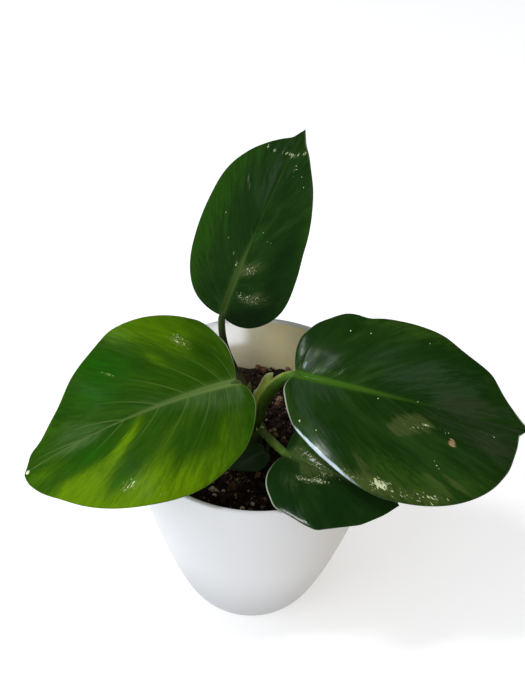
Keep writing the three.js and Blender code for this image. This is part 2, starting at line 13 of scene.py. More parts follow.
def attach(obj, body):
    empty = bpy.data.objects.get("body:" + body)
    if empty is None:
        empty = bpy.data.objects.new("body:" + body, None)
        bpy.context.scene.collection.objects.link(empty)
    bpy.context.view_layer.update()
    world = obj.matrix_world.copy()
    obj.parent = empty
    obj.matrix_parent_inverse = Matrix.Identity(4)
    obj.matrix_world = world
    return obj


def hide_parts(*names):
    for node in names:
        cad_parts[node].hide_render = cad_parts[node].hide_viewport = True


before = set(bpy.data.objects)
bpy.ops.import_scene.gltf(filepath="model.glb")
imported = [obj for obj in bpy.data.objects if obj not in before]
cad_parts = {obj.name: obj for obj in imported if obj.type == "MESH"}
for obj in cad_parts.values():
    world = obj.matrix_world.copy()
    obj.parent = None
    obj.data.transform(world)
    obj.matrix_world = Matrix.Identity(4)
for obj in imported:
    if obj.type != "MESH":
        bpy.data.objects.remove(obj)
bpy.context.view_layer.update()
MM = 0.001

# Camera, solved from the pot's rim and outline in the photograph
PICTURE_HEIGHT = 700
FOCAL_PIXELS = 900
SENSOR = 36
CAMERA_ELEVATION = math.radians(43.26)
CAMERA_ROLL = math.radians(2.66)
CAMERA_DISTANCE = 407.3
CAMERA_AIM = (1.4, 0, 166.2)

# Pot
POT_HEIGHT = 130
POT_RIM_RADIUS = 64
POT_BASE_RADIUS = 36.5
POT_WALL = 2
POT_FLOOR = 2.5
POT_ROUNDNESS_DOWN = 1.25
POT_ROUNDNESS_OUT = 1.27
POT_EDGE_DEPTH = 1.2
POT_WHITES = (0.67, 0.675, 0.69), (0.69, 0.695, 0.705)
# Painted shade: the warmer, darker colour of the pot's right side
POT_SHADED_SIDE = (0.515, 0.475, 0.405)
# Soil dust with painted shade on the inner wall, from its left to its right
POT_DUST_AND_SHADE = (0.43, 0.39, 0.25), (0.85, 0.71, 0.33)
# The painted patch of light high on the inner wall
POT_LIGHT_PATCH = (0.92, 0.92, 0.94)

# Soil
SOIL_Z = POT_HEIGHT - 33
SOIL_SWELL = 1.6
SOIL_MOUND_AT = (4, 52)
SOIL_MOUND_HEIGHT = 3
SOIL_MOUND_SPREAD = 20
FIT_GAP = 0.3

# Stem
STEM_X = 0
STEM_Y = 5.5
STEM_RADIUS = 5
STEM_FOOT_Z = 66
STEM_TOP_Z = 112
STEM_RING_STEP = 6
STEM_RING_PROUD = 0.35
STEM_RING_CREST = 0.8

# Light: the floor's own glow and its half width, the soft light from the left and from the right
# with the span in which they blend, the place that the lamps are aimed at, and the faint bounce on
# the pot's inner wall
FLOOR_GLOW = 0.42
FLOOR_HALF_SIZE = 12000
SKY_LEFT = (0.93, 1, 1.08)
SKY_RIGHT = (0.24, 0.18, 0.13)
SKY_BLEND = 0.9
SKY_STRENGTH = 0.8
LIGHT_AIM = (0, 0, 140)
BOUNCE_AT = (-13, 38, 126)
BOUNCE_AIM = (-16, 62, 118)

# What all the blades and stalks share
RIB_STEPS = 160
LOBE_SHARE = 0.36
WAVE_START = 0.15
DRIP_START = 0.88
MARGIN_PUSH_FADE = 20
VEINS = 8.33
ACROSS_POWER = 1.15
WING_SLIMNESS = 1.6
SEAT_AHEAD = 4
BLADE_THICKNESS = 0.5

# The fine relief of a blade: height and half width of each crease, lengths and seeds of its folds
RIB_GROOVE = (0.35, 0.9)
VEIN_GROOVE = (0.05, 0.5)
VEIN_RIDGE = (0.14, 0.6)
QUILT_LENGTH, QUILT_SEED = 25, 61
WANDER_LENGTH, WANDER_SEED = 30, 11
FOLD_LENGTH, FOLD_SEED = 3.2, 101

# The leaves. The base is where the blade leaves its stalk. Heading, rise, roll, arch, sweep, twist,
# lift and fall are in degrees. A half's outline is in shares of its length and width, and a push is
# a place along the margin, its spread and how far out it goes. Stalks and wing edges are points.
SMALL_HALF = dict(width=9.5, widest=0.42, lobe=0.14, shoulder=0.6, back=0.25, fore=0.25,
                  point=0.1, point_width=0.25, lift=10, fall=-4)
LEAVES = {
    "top": dict(
        base=(-20, 46.5, 145), heading=56.5, rise=57, roll=-6.5, length=101,
        arch=(12, 12.5), sweep=-5.5, twist=6, drip=2.5, waves=2.5, wave_height=0.8, rib=1.8,
        left=dict(width=35, widest=0.42, lobe=0.02, shoulder=0.63, back=0.23, fore=0.46,
                  point=0.09, point_width=0.23, lift=13, fall=-15,
                  pushes=((0.62, 0.05, -0.4), (0.78, 0.05, 0.4), (0.9, 0.04, -0.9))),
        right=dict(width=35, widest=0.26, lobe=0.04, shoulder=0.55, back=0.19, fore=0.31,
                   point=0.09, point_width=0.32, lift=11, fall=1,
                   pushes=((0.3, 0.06, 0.5), (0.47, 0.04, -0.3), (0.7, 0.06, 0.5),
                           (0.9, 0.05, -0.7))),
        stalk=((-0.5, 8.5, 103), (-2, 21.5, 123.5), (-20, 31, 127), (-20, 46.5, 145)),
        stalk_radius=(2.3, 2, 1.75), stalk_seat=1.4, wings=(),
    ),
    "left": dict(
        base=(-9.5, -13, 158), heading=210.5, rise=10, roll=-18.5, length=103,
        arch=(24.5, 21), sweep=-2, twist=2, drip=0, waves=3, wave_height=0.9, rib=2,
        left=dict(width=43, widest=0.4, lobe=0.13, shoulder=0.25, back=0.3, fore=0.33,
                  point=-0.02, point_width=0.25, lift=11, fall=-8,
                  pushes=((0.14, 0.03, -0.7), (0.22, 0.03, 0.8), (0.73, 0.06, -0.8),
                          (0.91, 0.03, 0.6))),
        right=dict(width=43.5, widest=0.37, lobe=0.1, shoulder=0.77, back=0.23, fore=0.16,
                   point=0.22, point_width=0.32, lift=8, fall=-3,
                   pushes=((0.11, 0.025, -1.3), (0.17, 0.025, 0.7), (0.38, 0.05, -0.8),
                           (0.75, 0.06, -1.1), (0.94, 0.04, 1.6))),
        stalk=((-3, 5, 103), (-7, -3.5, 122.5), (-6, -9.5, 143), (-9.5, -13, 158)),
        stalk_radius=(2.4, 2.2, 1.9), stalk_seat=2.5,
        wings=(dict(span=(0.35, 0.86), pale=0.7,
                    edge=((-4.5, -3.5, 121), (-4, -6.5, 134), (-3, -8.5, 143), (-2.5, -9.5, 151),
                          (-3.5, -11, 157))),),
    ),
    "right": dict(
        base=(17, -8.5, 160), heading=-19.5, rise=5, roll=24, length=108,
        arch=(17, 16), sweep=-12, twist=-4.5, drip=3, waves=3.5, wave_height=0.9, rib=2,
        left=dict(width=37, widest=0.38, lobe=0.1, shoulder=0.66, back=0.29, fore=0.37,
                  point=0.11, point_width=0.3, lift=14, fall=-10,
                  pushes=((0.13, 0.02, -1), (0.245, 0.035, 1.8), (0.3, 0.02, -0.9),
                          (0.5, 0.06, 1.2), (0.72, 0.05, 1))),
        right=dict(width=48, widest=0.45, lobe=0.13, shoulder=0.28, back=0.21, fore=0.5,
                   point=0.09, point_width=0.12, lift=18, fall=-9,
                   pushes=((0.1, 0.03, -1.4), (0.16, 0.02, 0.6), (0.25, 0.06, -0.9),
                           (0.73, 0.05, 1.2), (0.87, 0.035, -1.8))),
        stalk=((2.5, 5.5, 103), (-2.5, -1, 121.5), (5.5, -2, 151), (17, -8.5, 160)),
        stalk_radius=(2.4, 3, 1.9), stalk_seat=1.8,
        # The first wing's spread is painted light: pale sheath colour carried round the stalk's lit
        # side.
        wings=(dict(span=(0.22, 0.74), pale=1, spread=0.8,
                    edge=((-0.5, 4.5, 118.5), (-1.5, 5, 126.5), (-2, 5, 133.5), (0, 4, 138),
                          (2, 4, 144), (4, 3, 148.5), (7, 1, 151.5))),
               dict(span=(0.3, 0.84), pale=0.15,
                    edge=((4.5, 2, 122.5), (6, 1, 129), (7.5, 0, 135), (10, -1, 141), (12, -2, 146),
                          (13.5, -4.5, 152)))),
    ),
    "low": dict(
        base=(14, -34, 135), heading=-34.5, rise=11, roll=16, length=55.5,
        arch=(18.5, 26), sweep=-13.5, twist=1, drip=1, waves=2.5, wave_height=0.5, rib=1.5,
        left=dict(width=27, widest=0.36, lobe=0.12, shoulder=0.61, back=0.22, fore=0.22,
                  point=0.12, point_width=0.22, lift=12, fall=-8,
                  pushes=((0.3, 0.04, 0.5), (0.5, 0.05, -0.5))),
        right=dict(width=28, widest=0.42, lobe=0.11, shoulder=0.7, back=0.25, fore=0.18,
                   point=0.05, point_width=0.26, lift=15, fall=-3,
                   pushes=((0.24, 0.03, 1), (0.32, 0.04, -0.5), (0.45, 0.04, 0.8),
                           (0.58, 0.05, -0.4), (0.69, 0.04, 0.4))),
        stalk=((1, 1.5, 100.5), (2, -3.5, 121.5), (4.5, -21.5, 131.5), (14, -34, 135)),
        stalk_radius=(2.1, 2, 1.9), stalk_seat=1.55,
        wings=(dict(span=(0.3, 0.6), pale=1,
                    edge=((3, -1.5, 120), (3.5, -6, 121.5), (4.5, -10, 123), (6.5, -16.5, 126.5))),
               dict(span=(0.3, 0.6), pale=1,
                    edge=((0, -4, 118.5), (1, -8, 120.5), (2.5, -12, 122.5), (4.5, -18, 126)))),
    ),
    "small": dict(
        base=(5, -9, 106.5), heading=-151, rise=0, roll=2, length=19,
        arch=(8, 14), sweep=-4, twist=0, drip=1, waves=2, wave_height=0.3, rib=0.9,
        left=dict(SMALL_HALF, pushes=((0.3, 0.05, 0.3), (0.55, 0.06, -0.3))),
        right=dict(SMALL_HALF, pushes=((0.4, 0.05, -0.3),)),
        stalk=((4, 4.5, 101.5), (7, 1, 102.5), (6.5, -4, 104.5), (5, -9, 105.5)),
        stalk_radius=(1.4, 1.3, 1.1), stalk_seat=1.9, wings=(),
    ),
}


# Vector helpers

def unit(vectors):
    vectors = np.asarray(vectors, float)
    return vectors / np.maximum(np.linalg.norm(vectors, axis=-1, keepdims=True), 1e-12)


def turned(vector, axis, angle):
    """vector turned about a unit axis by the right-hand rule."""
    part = axis * np.dot(axis, vector) * (1 - math.cos(angle))
    return vector * math.cos(angle) + np.cross(axis, vector) * math.sin(angle) + part


def smoothstep(low, high, values):
    share = np.clip((np.asarray(values, float) - low) / (high - low), 0, 1)
    return share * share * (3 - 2 * share)


def bezier(corners, share):
    share = np.asarray(share, float)[..., None]
    rest = 1 - share
    a, b, c, d = (np.asarray(corner, float) for corner in corners)
    return rest**3 * a + 3 * rest**2 * share * b + 3 * rest * share**2 * c + share**3 * d


def catmull(corners, share):
    """A smooth centripetal curve through the corners, for share from 0 to 1."""
    corners = np.asarray(corners, float)
    padded = np.vstack([2 * corners[0] - corners[1], corners, 2 * corners[-1] - corners[-2]])
    place = np.clip(share, 0, 1) * (len(corners) - 1)
    index = np.minimum(place.astype(int), len(corners) - 2)
    t = (place - index)[..., None]
    a, b, c, d = (padded[index + k] for k in range(4))
    before, here, after = (np.sqrt(np.linalg.norm(step, axis=-1, keepdims=True))
                           for step in (b - a, c - b, d - c))
    leave = here * ((b - a) / before - (c - a) / (before + here)) + c - b
    arrive = c - b + here * ((d - c) / after - (d - b) / (here + after))
    return (b + leave * t + (3 * (c - b) - 2 * leave - arrive) * t**2
            + (2 * (b - c) + leave + arrive) * t**3)


def even_steps(curve, count):
    """count points spaced evenly along a curve of points."""
    steps = np.linalg.norm(np.diff(curve, axis=0), axis=1)
    length = np.concatenate([[0], np.cumsum(steps)])
    wanted = np.linspace(0, length[-1], count)
    return np.stack([np.interp(wanted, length, curve[:, axis]) for axis in range(3)], axis=1)


def ripples(points, wavelength, seed, count=7):
    """Smooth seeded noise of about -1 to 1 at each point, with features of that wavelength."""
    draw = np.random.default_rng(seed)
    total = np.zeros(points.shape[:-1])
    for _ in range(count):
        direction = unit(draw.normal(size=3)) * (2 * math.pi / wavelength) * draw.uniform(0.6, 1.5)
        total += np.sin(points @ direction + draw.uniform(0, 2 * math.pi))
    return total / math.sqrt(count * 0.5) * 0.5


# Mesh helpers

def new_object(name, points, faces, material, attributes=None, smooth=True):
    """A mesh object from points in millimetres. attributes are one number for each point."""
    mesh = bpy.data.meshes.new(name)
    mesh.from_pydata((np.asarray(points, float) * MM).tolist(), [], faces)
    for key, values in (attributes or {}).items():
        layer = mesh.attributes.new(key, "FLOAT", "POINT")
        layer.data.foreach_set("value", np.asarray(values, np.float32))
    mesh.polygons.foreach_set("use_smooth", [smooth] * len(mesh.polygons))
    mesh.materials.append(material)
    mesh.update()
    obj = bpy.data.objects.new(name, mesh)
    bpy.context.scene.collection.objects.link(obj)
    return obj


def register(obj, slot, *nodes):
    """Ties a finished piece to its body and hides the solids that it stands for. The slot is not
    used.
    """
    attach(obj, "root")
    if nodes:
        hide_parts(*nodes)


def circle(sides):
    """Points spaced evenly round a circle of radius 1, with their angles."""
    angle = np.linspace(0, 2 * math.pi, sides, endpoint=False)
    return np.stack([np.cos(angle), np.sin(angle)], axis=1), angle


def ring_faces(rings, sides, first=0):
    """Quads between successive closed rings of points."""
    faces = []
    for ring in range(rings - 1):
        near = first + ring * sides
        for side in range(sides):
            after = (side + 1) % sides
            faces.append((near + side, near + after, near + sides + after, near + sides + side))
    return faces


def lathe(profile, sides):
    """The rings of points that a profile of radius and height makes round the z axis."""
    around = circle(sides)[0]
    return np.stack([np.column_stack([around * radius, np.full(sides, z)])
                     for radius, z in profile])


def tube_faces(rings, sides):
    """The quads of a tube with a flat cap at each end."""
    last = (rings - 1) * sides
    caps = [tuple(range(sides))[::-1], tuple(range(last, last + sides))]
    return ring_faces(rings, sides) + caps


def fan_faces(point, first, sides, outward):
    """Triangles from one point to the closed ring that starts at first."""
    pairs = [(first + side, first + (side + 1) % sides) for side in range(sides)]
    return [(point, *(pair if outward else pair[::-1])) for pair in pairs]


class Builder:
    """Collects several closed meshes into one piece."""

    def __init__(self):
        self.points = []
        self.faces = []
        self.values = {}
        self.count = 0

    def add(self, points, faces, **values):
        points = np.asarray(points, float)
        self.points.append(points)
        self.faces.extend(tuple(self.count + corner for corner in face) for face in faces)
        for key, value in values.items():
            spread = np.broadcast_to(np.asarray(value, float), (len(points),))
            self.values.setdefault(key, []).append(spread)
        self.count += len(points)

    def make(self, name, material, smooth=True):
        values = {key: np.concatenate(parts) for key, parts in self.values.items()}
        return new_object(name, np.vstack(self.points), self.faces, material, values, smooth)


# Material helpers

class Nodes:
    """A small wrapper that adds nodes to a node tree and joins them."""

    def __init__(self, tree):
        self.tree = tree

    def join(self, value, socket):
        if isinstance(value, bpy.types.NodeSocket):
            self.tree.links.new(value, socket)
        elif socket.type == "RGBA" and len(value) == 3:
            socket.default_value = (*value, 1)
        else:
            socket.default_value = value

    def node(self, kind, inputs=None, **settings):
        made = self.tree.nodes.new(kind)
        for key, value in settings.items():
            setattr(made, key, value)
        for key, value in (inputs or {}).items():
            self.join(value, made.inputs[key])
        return made

    def math(self, operation, *values):
        inputs = dict(enumerate(values))
        return self.node("ShaderNodeMath", inputs, operation=operation).outputs[0]

    def times(self, first, *others):
        for other in others:
            first = self.math("MULTIPLY", first, other)
        return first

    def plus(self, first, *others):
        for other in others:
            first = self.math("ADD", first, other)
        return first

    def attribute(self, key):
        return self.node("ShaderNodeAttribute", attribute_name=key).outputs["Fac"]

    def ramp(self, value, low, high, out_low=0.0, out_high=1.0):
        """A smooth step from out_low to out_high while the value goes from low to high."""
        inputs = dict(enumerate((value, low, high, out_low, out_high)))
        return self.node("ShaderNodeMapRange", inputs, interpolation_type="SMOOTHSTEP").outputs[0]

    def mix(self, factor, first, second, blend="MIX"):
        inputs = {0: factor, 6: first, 7: second}
        return self.node("ShaderNodeMix", inputs, data_type="RGBA", blend_type=blend).outputs[2]

    def shaded(self, colour, shade):
        """The colour made darker or lighter by a number."""
        return self.mix(1.0, colour, self.vector(shade, shade, shade), "MULTIPLY")

    def place(self):
        return self.node("ShaderNodeTexCoord").outputs["Object"]

    def noise(self, scale, detail=3.0, roughness=0.5, vector=None):
        inputs = {"Vector": vector or self.place(), "Scale": scale, "Detail": detail,
                  "Roughness": roughness}
        return self.node("ShaderNodeTexNoise", inputs).outputs["Fac"]

    def vector(self, x, y, z=0.0):
        return self.node("ShaderNodeCombineXYZ", {0: x, 1: y, 2: z}).outputs[0]

    def bump(self, height, strength, depth):
        """Normals of a fine relief, with its depth in millimetres."""
        inputs = {"Strength": strength, "Distance": depth * MM, "Height": height}
        return self.node("ShaderNodeBump", inputs).outputs[0]


class Shader(Nodes):
    """The nodes of one new material."""

    def __init__(self, name):
        self.material = bpy.data.materials.new(name)
        self.material.use_nodes = True
        super().__init__(self.material.node_tree)
        self.principled = self.tree.nodes["Principled BSDF"]

    def finish(self, colour, roughness, normal=None, **sockets):
        self.join(colour, self.principled.inputs["Base Color"])
        self.join(roughness, self.principled.inputs["Roughness"])
        if normal is not None:
            self.join(normal, self.principled.inputs["Normal"])
        for key, value in sockets.items():
            self.join(value, self.principled.inputs[key.replace("_", " ")])
        return self.material


# Leaf shape

def midrib(leaf):
    """Places along the midrib with the forward, right and up directions there."""
    rise, heading = math.radians(leaf["rise"]), math.radians(leaf["heading"])
    forward = np.array([math.cos(rise) * math.cos(heading), math.cos(rise) * math.sin(heading),
                        math.sin(rise)])
    right = turned(unit(np.cross(forward, (0, 0, 1))), forward, math.radians(leaf["roll"]))
    up = np.cross(right, forward)
    place = np.array(leaf["base"], float)
    stations = [(place, forward, right, up)]
    for step in range(RIB_STEPS):
        share = (step + 0.5) / RIB_STEPS
        droop = leaf["arch"][0] * 2 * (1 - share) + leaf["arch"][1] * 2 * share
        bend = math.radians(droop) / RIB_STEPS
        sweep = math.radians(leaf["sweep"]) / RIB_STEPS
        half = turned(turned(forward, right, -bend / 2), up, -sweep / 2)
        place = place + half * leaf["length"] / RIB_STEPS
        forward, up = turned(forward, right, -bend), turned(up, right, -bend)
        forward, right = turned(forward, up, -sweep), turned(right, up, -sweep)
        right = unit(turned(right, forward, math.radians(leaf["twist"]) / RIB_STEPS))
        up = unit(np.cross(right, forward))
        stations.append((place, forward, right, up))
    return [np.array([station[k] for station in stations]) for k in range(4)]


def outline(half, along):
    """A half's outline, as shares of length and width, for along from 0 at the base to 1."""
    lobe = bezier(((0, 0), (-half["lobe"], half["shoulder"]), (half["widest"] - half["back"], 1),
                   (half["widest"], 1)), np.clip(along / LOBE_SHARE, 0, 1))
    tip = bezier(((half["widest"], 1), (half["widest"] + half["fore"], 1),
                  (1 - half["point"], half["point_width"]), (1, 0)),
                 np.clip((along - LOBE_SHARE) / (1 - LOBE_SHARE), 0, 1))
    return np.where((along <= LOBE_SHARE)[..., None], lobe, tip)


def margin_push(half, along):
    """How far the bays and bulges push a half's margin out, in millimetres."""
    fade = np.minimum(1, MARGIN_PUSH_FADE * along * (1 - along))
    return fade * sum(push * np.exp(-(((along - place) / spread) ** 2))
                      for place, spread, push in half["pushes"])


def blade_half(leaf, rib, side, along, across):
    """The middle surface of one half, and each point's share of the length and reach in mm."""
    half = leaf["right"] if side > 0 else leaf["left"]
    edge = outline(half, along)
    rib_share = along**2
    near_tip = np.maximum(0, along - DRIP_START) / (1 - DRIP_START)
    drawn_out = leaf["drip"] / leaf["length"] * near_tip**2
    share = rib_share + (edge[..., 0] - rib_share) * across**1.4 + drawn_out
    reach = (edge[..., 1] * half["width"] + margin_push(half, along)) * across
    on_rib = np.clip(share, 0, 1)
    index = np.minimum((on_rib * RIB_STEPS).astype(int), RIB_STEPS - 1)
    blend = (on_rib * RIB_STEPS - index)[..., None]
    place, forward, right, up = (part[index] * (1 - blend) + part[index + 1] * blend
                                 for part in rib)
    start = math.radians(half["lift"])
    turn = (math.radians(half["fall"]) - start) / half["width"]
    out = (np.sin(start + turn * reach) - math.sin(start)) / turn
    rise = (math.cos(start) - np.cos(start + turn * reach)) / turn
    fade = smoothstep(0, WAVE_START, along) * (1 - along**6)
    wave = leaf["wave_height"] * fade * across**2
    wave = wave * np.sin(2 * math.pi * leaf["waves"] * along + side)
    points = place + forward * ((share - on_rib) * leaf["length"])[..., None]
    points = points + right * (side * out)[..., None] + up * (rise + wave)[..., None]
    return points, share, reach


def blade_grid(leaf, rows, columns):
    """The middle surface of the whole blade on a grid, left margin to right margin."""
    rib = midrib(leaf)
    along = np.linspace(0, 1, rows + 1)[:, None] * np.ones((1, columns + 1))
    across = np.linspace(0, 1, columns + 1)[None, :] ** ACROSS_POWER * np.ones((rows + 1, 1))
    halves = {side: blade_half(leaf, rib, side, along, across) for side in (-1, 1)}
    join = [np.concatenate([halves[-1][k][:, :0:-1], halves[1][k]], axis=1) for k in range(3)]
    signed = np.concatenate([-across[:, :0:-1], across], axis=1)
    both_along = np.concatenate([along[:, :0:-1], along], axis=1)
    return join[0], join[1], join[2], both_along, signed


def grid_normals(points):
    """Unit normals of a grid surface, upwards, with the two end rows copied from next to them."""
    inner = unit(np.cross(np.gradient(points, axis=1), np.gradient(points, axis=0)))
    inner[0] = inner[2]
    inner[1] = inner[2]
    inner[-1] = inner[-3]
    inner[-2] = inner[-3]
    return inner


def gradient_size(values, points):
    """How fast a value changes for each millimetre over a grid surface."""
    du, dv = np.gradient(points, axis=0), np.gradient(points, axis=1)
    qu, qv = np.gradient(values, axis=0), np.gradient(values, axis=1)
    e, f, g = (du * du).sum(-1), (du * dv).sum(-1), (dv * dv).sum(-1)
    area = np.maximum(e * g - f * f, 1e-9)
    return np.sqrt(np.maximum(g * qu**2 - 2 * f * qu * qv + e * qv**2, 0) / area)


def wrinkles(across_veins, along_veins, seed, wavelength, count=9):
    """Smooth seeded noise of about -1 to 1 whose folds run along the veins."""
    draw = np.random.default_rng(seed)
    total = np.zeros_like(across_veins)
    for _ in range(count):
        steep = 2 * math.pi / (wavelength * draw.uniform(0.7, 1.6))
        gentle = 2 * math.pi / (wavelength * draw.uniform(1.6, 5)) * draw.choice((-1, 1))
        total += np.sin(across_veins * steep + along_veins * gentle + draw.uniform(0, 2 * math.pi))
    return total / math.sqrt(count * 0.5) * 0.5


def blobs(along, signed, places):
    """A soft field from places on the blade: along, across, their two reaches and an amount."""
    return sum((amount * np.exp(-(((along - a) / reach_a) ** 2) - ((signed - c) / reach_c) ** 2)
                for a, c, reach_a, reach_c, amount in places), np.zeros_like(along))


def crease(distance, height, width):
    """A soft ridge or groove along a line, for distances from it in millimetres."""
    return height * np.exp(-((distance / width) ** 2))


def make_blade(key, material, rows, columns, look):
    """A fine blade: sunken veins above, a raised midrib and veins below, and a soft margin."""
    leaf = LEAVES[key]
    number = list(LEAVES).index(key)
    middle, share, reach, along, signed = blade_grid(leaf, rows, columns)
    across = np.abs(signed)
    on_rib = share.clip(0, 1)
    normal = grid_normals(middle)
    lean = np.where(signed > 0, look["lean"][1], look["lean"][0])
    phase = (along - lean * (1 - (1 - across) ** 2) * smoothstep(0, 0.3, along)) * VEINS
    spacing = 1 / np.maximum(gradient_size(phase, middle), 1e-3)
    spacing[0], spacing[-1] = spacing[1], spacing[-2]
    spacing = np.clip(spacing, 0.5, 30)
    from_vein = np.abs(phase - np.round(phase)) * spacing
    rim = (1 - across) / np.maximum(gradient_size(across, middle), 1e-3)
    rim[0], rim[-1] = 0, 0
    body = smoothstep(0, 0.12, across) * smoothstep(0, 3, rim)

    swell = look["quilt"] * (0.5 - 0.5 * np.cos(2 * math.pi * phase)) * np.clip(spacing / 6, 0, 1)
    swell = swell * (0.7 + 0.5 * ripples(middle, QUILT_LENGTH, QUILT_SEED + number))
    drift = look["wander"] * ripples(middle, WANDER_LENGTH, WANDER_SEED + number)
    drift = drift * smoothstep(0, 0.5, across)
    rough = look["crinkle"] * (0.35 + blobs(along, signed, look["shimmer"]))
    folds = wrinkles(phase * leaf["length"] / VEINS, signed * reach.max(), FOLD_SEED + number,
                     FOLD_LENGTH)
    shift = (swell * body + drift + rough * folds * body)[..., None] * normal

    groove = crease(reach, *RIB_GROOVE) * (1 - 0.6 * on_rib)
    groove = groove + crease(from_vein, *VEIN_GROOVE) * body
    ridge = crease(reach, leaf["rib"] * (1 - 0.85 * on_rib**1.2), 0.6 + 0.9 * (1 - on_rib))
    ridge = ridge + crease(from_vein, *VEIN_RIDGE) * body
    half = BLADE_THICKNESS / 2 * (0.45 + 0.55 * smoothstep(0, 1.2, rim))
    upper = middle + shift + normal * (half - groove)[..., None]
    lower = middle + shift - normal * (half + ridge)[..., None]

    values = dict(phase=phase, spacing=spacing, cross=reach * np.sign(signed), along=share,
                  rim=rim, across=signed, pale_rim=blobs(along, signed, look["rims"]),
                  glitter=blobs(along, signed, look["glitter"]),
                  dull=blobs(along, signed, look["dull"]))
    for name, (_, *places) in look["tints"].items():
        values[f"tint_{name}"] = blobs(along, signed, places)
    return close_sheet(key, upper, lower, values, material), upper


def close_sheet(key, upper, lower, values, material):
    """One closed mesh from an upper and a lower grid whose end rows are single points."""
    rows, columns = upper.shape[:2]
    used = np.ones((rows, columns), bool)
    used[[0, -1]] = np.arange(columns) == columns // 2
    count = used.sum()
    top = np.cumsum(used).reshape(rows, columns) - 1
    top[0], top[-1] = 0, count - 1
    bottom = top + count
    faces = []

    def add(*corners):
        kept = list(dict.fromkeys(int(corner) for corner in corners))
        if len(kept) > 2:
            faces.append(kept)

    for row in range(rows - 1):
        near, far = row, row + 1
        for left, right in zip(range(columns - 1), range(1, columns)):
            add(top[near, left], top[near, right], top[far, right], top[far, left])
            add(bottom[far, left], bottom[far, right], bottom[near, right], bottom[near, left])
        add(top[near, 0], top[far, 0], bottom[far, 0], bottom[near, 0])
        add(top[far, -1], top[near, -1], bottom[near, -1], bottom[far, -1])
    points = np.concatenate([upper[used], lower[used]])
    layers = {name: np.tile(field[used], 2) for name, field in values.items()}
    layers["upper"] = np.repeat([1.0, 0.0], count)
    return new_object(f"leaf_{key}", points, faces, material, layers)


# Leaf finish: how far apart the noise of two leaves and of two halves lies, then the colours of
# painted glints, single bright points of reflected light, and of a pale margin
LEAF_SEED_STEP = 3.7
SIDE_SHIFT = 9
PAINTED_GLINT = (0.66, 0.7, 0.42)
PALE_MARGIN = (0.5, 0.55, 0.4)


def leaf_material(key, look):
    """A waxy leaf: streaks along the veins, a paler midrib, tints, painted light and a thin margin.
    """
    s = Shader(f"leaf_{key}")
    names = ("phase", "spacing", "cross", "along", "rim", "across", "upper")
    phase, spacing, cross, along, rim, across, upper = (s.attribute(name) for name in names)
    seed = LEAF_SEED_STEP * list(LEAVES).index(key)
    side = s.times(s.math("SIGN", cross), SIDE_SHIFT)

    def streaks(scale, detail, roughness, by_vein, by_reach):
        """Noise drawn out along the veins, with its own pattern on each side of the midrib."""
        flow = s.vector(s.plus(s.times(phase, by_vein), side), s.times(across, by_reach), seed)
        return s.noise(scale, detail, roughness, flow)

    broad = streaks(scale=1.3, detail=3, roughness=0.55, by_vein=1, by_reach=1.2)
    fine = streaks(scale=3.2, detail=4, roughness=0.65, by_vein=2.6, by_reach=1.6)
    sparks = streaks(scale=1, detail=2, roughness=0.6, by_vein=26, by_reach=34)
    patch = s.noise(38, 3, 0.55)
    grain = s.noise(240, 3, 0.6)

    colour = s.mix(s.ramp(patch, 0.32, 0.7), look["dark"], look["mid"])
    colour = s.mix(s.times(s.ramp(broad, 0.48, 0.72), look["streak"]), colour, look["light"])
    ragged = s.times(*(s.ramp(noise, low, 1 - low, 1 - share * look["ragged"],
                              1 + share * look["ragged"])
                       for noise, low, share in ((broad, 0.3, 1), (sparks, 0.3, 0.8),
                                                 (fine, 0.35, 0.7))))
    # Tints: the leaf's own colours, and painted sheen, reflections and shadow where a tint stands
    # for light
    for name, (tint, *_) in look["tints"].items():
        amount = s.times(s.attribute(f"tint_{name}"), ragged)
        colour = s.mix(s.ramp(amount, *look["tint_edge"]), colour, tint)
    colour = with_painted_glints(s, colour, look, sparks)
    colour = s.shaded(colour, s.ramp(fine, 0.3, 0.7, 1 - look["grain"], 1 + look["grain"]))
    if look["veins"] is not None:
        colour = with_veins(s, colour, look, phase, spacing, across)
    colour = with_midrib(s, colour, look, along, s.math("ABSOLUTE", cross))
    colour = s.mix(s.ramp(rim, 0.1, 0.45, 0.55, 0), colour, look["edge"])
    pale = s.times(s.ramp(rim, 0.25, 0.75, 1, 0), s.attribute("pale_rim"))
    colour = s.mix(pale, colour, PALE_MARGIN)
    below = s.mix(s.times(patch, 0.5), look["under"], look["mid"])
    colour = s.mix(s.ramp(upper, 0.4, 0.6), below, colour)

    gloss = look["roughness"]
    rough = s.plus(s.ramp(grain, 0.3, 0.7, gloss - 0.03, gloss + 0.05),
                   s.ramp(upper, 0.4, 0.6, 0.3, 0), s.times(s.attribute("dull"), 0.35))
    normal = s.bump(s.plus(fine, s.times(grain, 0.3)), strength=0.12, depth=0.3)
    return s.finish(colour, rough, normal, Specular_IOR_Level=look["specular"])


def with_painted_glints(s, colour, look, sparks):
    """Painted glints: a soft glow of painted sheen and single bright painted points of light."""
    glitter = s.attribute("glitter")
    glow = s.times(s.ramp(glitter, 0.05, 1, 0, 0.75), s.ramp(sparks, 0.4, 0.62, 0.15, 1))
    colour = s.mix(glow, colour, look["glow"])
    spark = s.ramp(s.plus(sparks, s.times(glitter, 0.15)), 0.7, 0.76)
    return s.mix(s.times(spark, s.ramp(glitter, 0.1, 0.4)), colour, PAINTED_GLINT)


def with_veins(s, colour, look, phase, spacing, across):
    """Thin paler side veins that fade towards the margin."""
    from_vein = s.math("ABSOLUTE", s.math("SUBTRACT", phase, s.math("ROUND", phase)))
    line = s.ramp(s.times(from_vein, spacing), 0.1, 0.45, 1, 0)
    fade = s.ramp(s.math("ABSOLUTE", across), 0.1, 0.6, 0.45, 0.03)
    return s.mix(s.times(line, fade), colour, look["veins"])


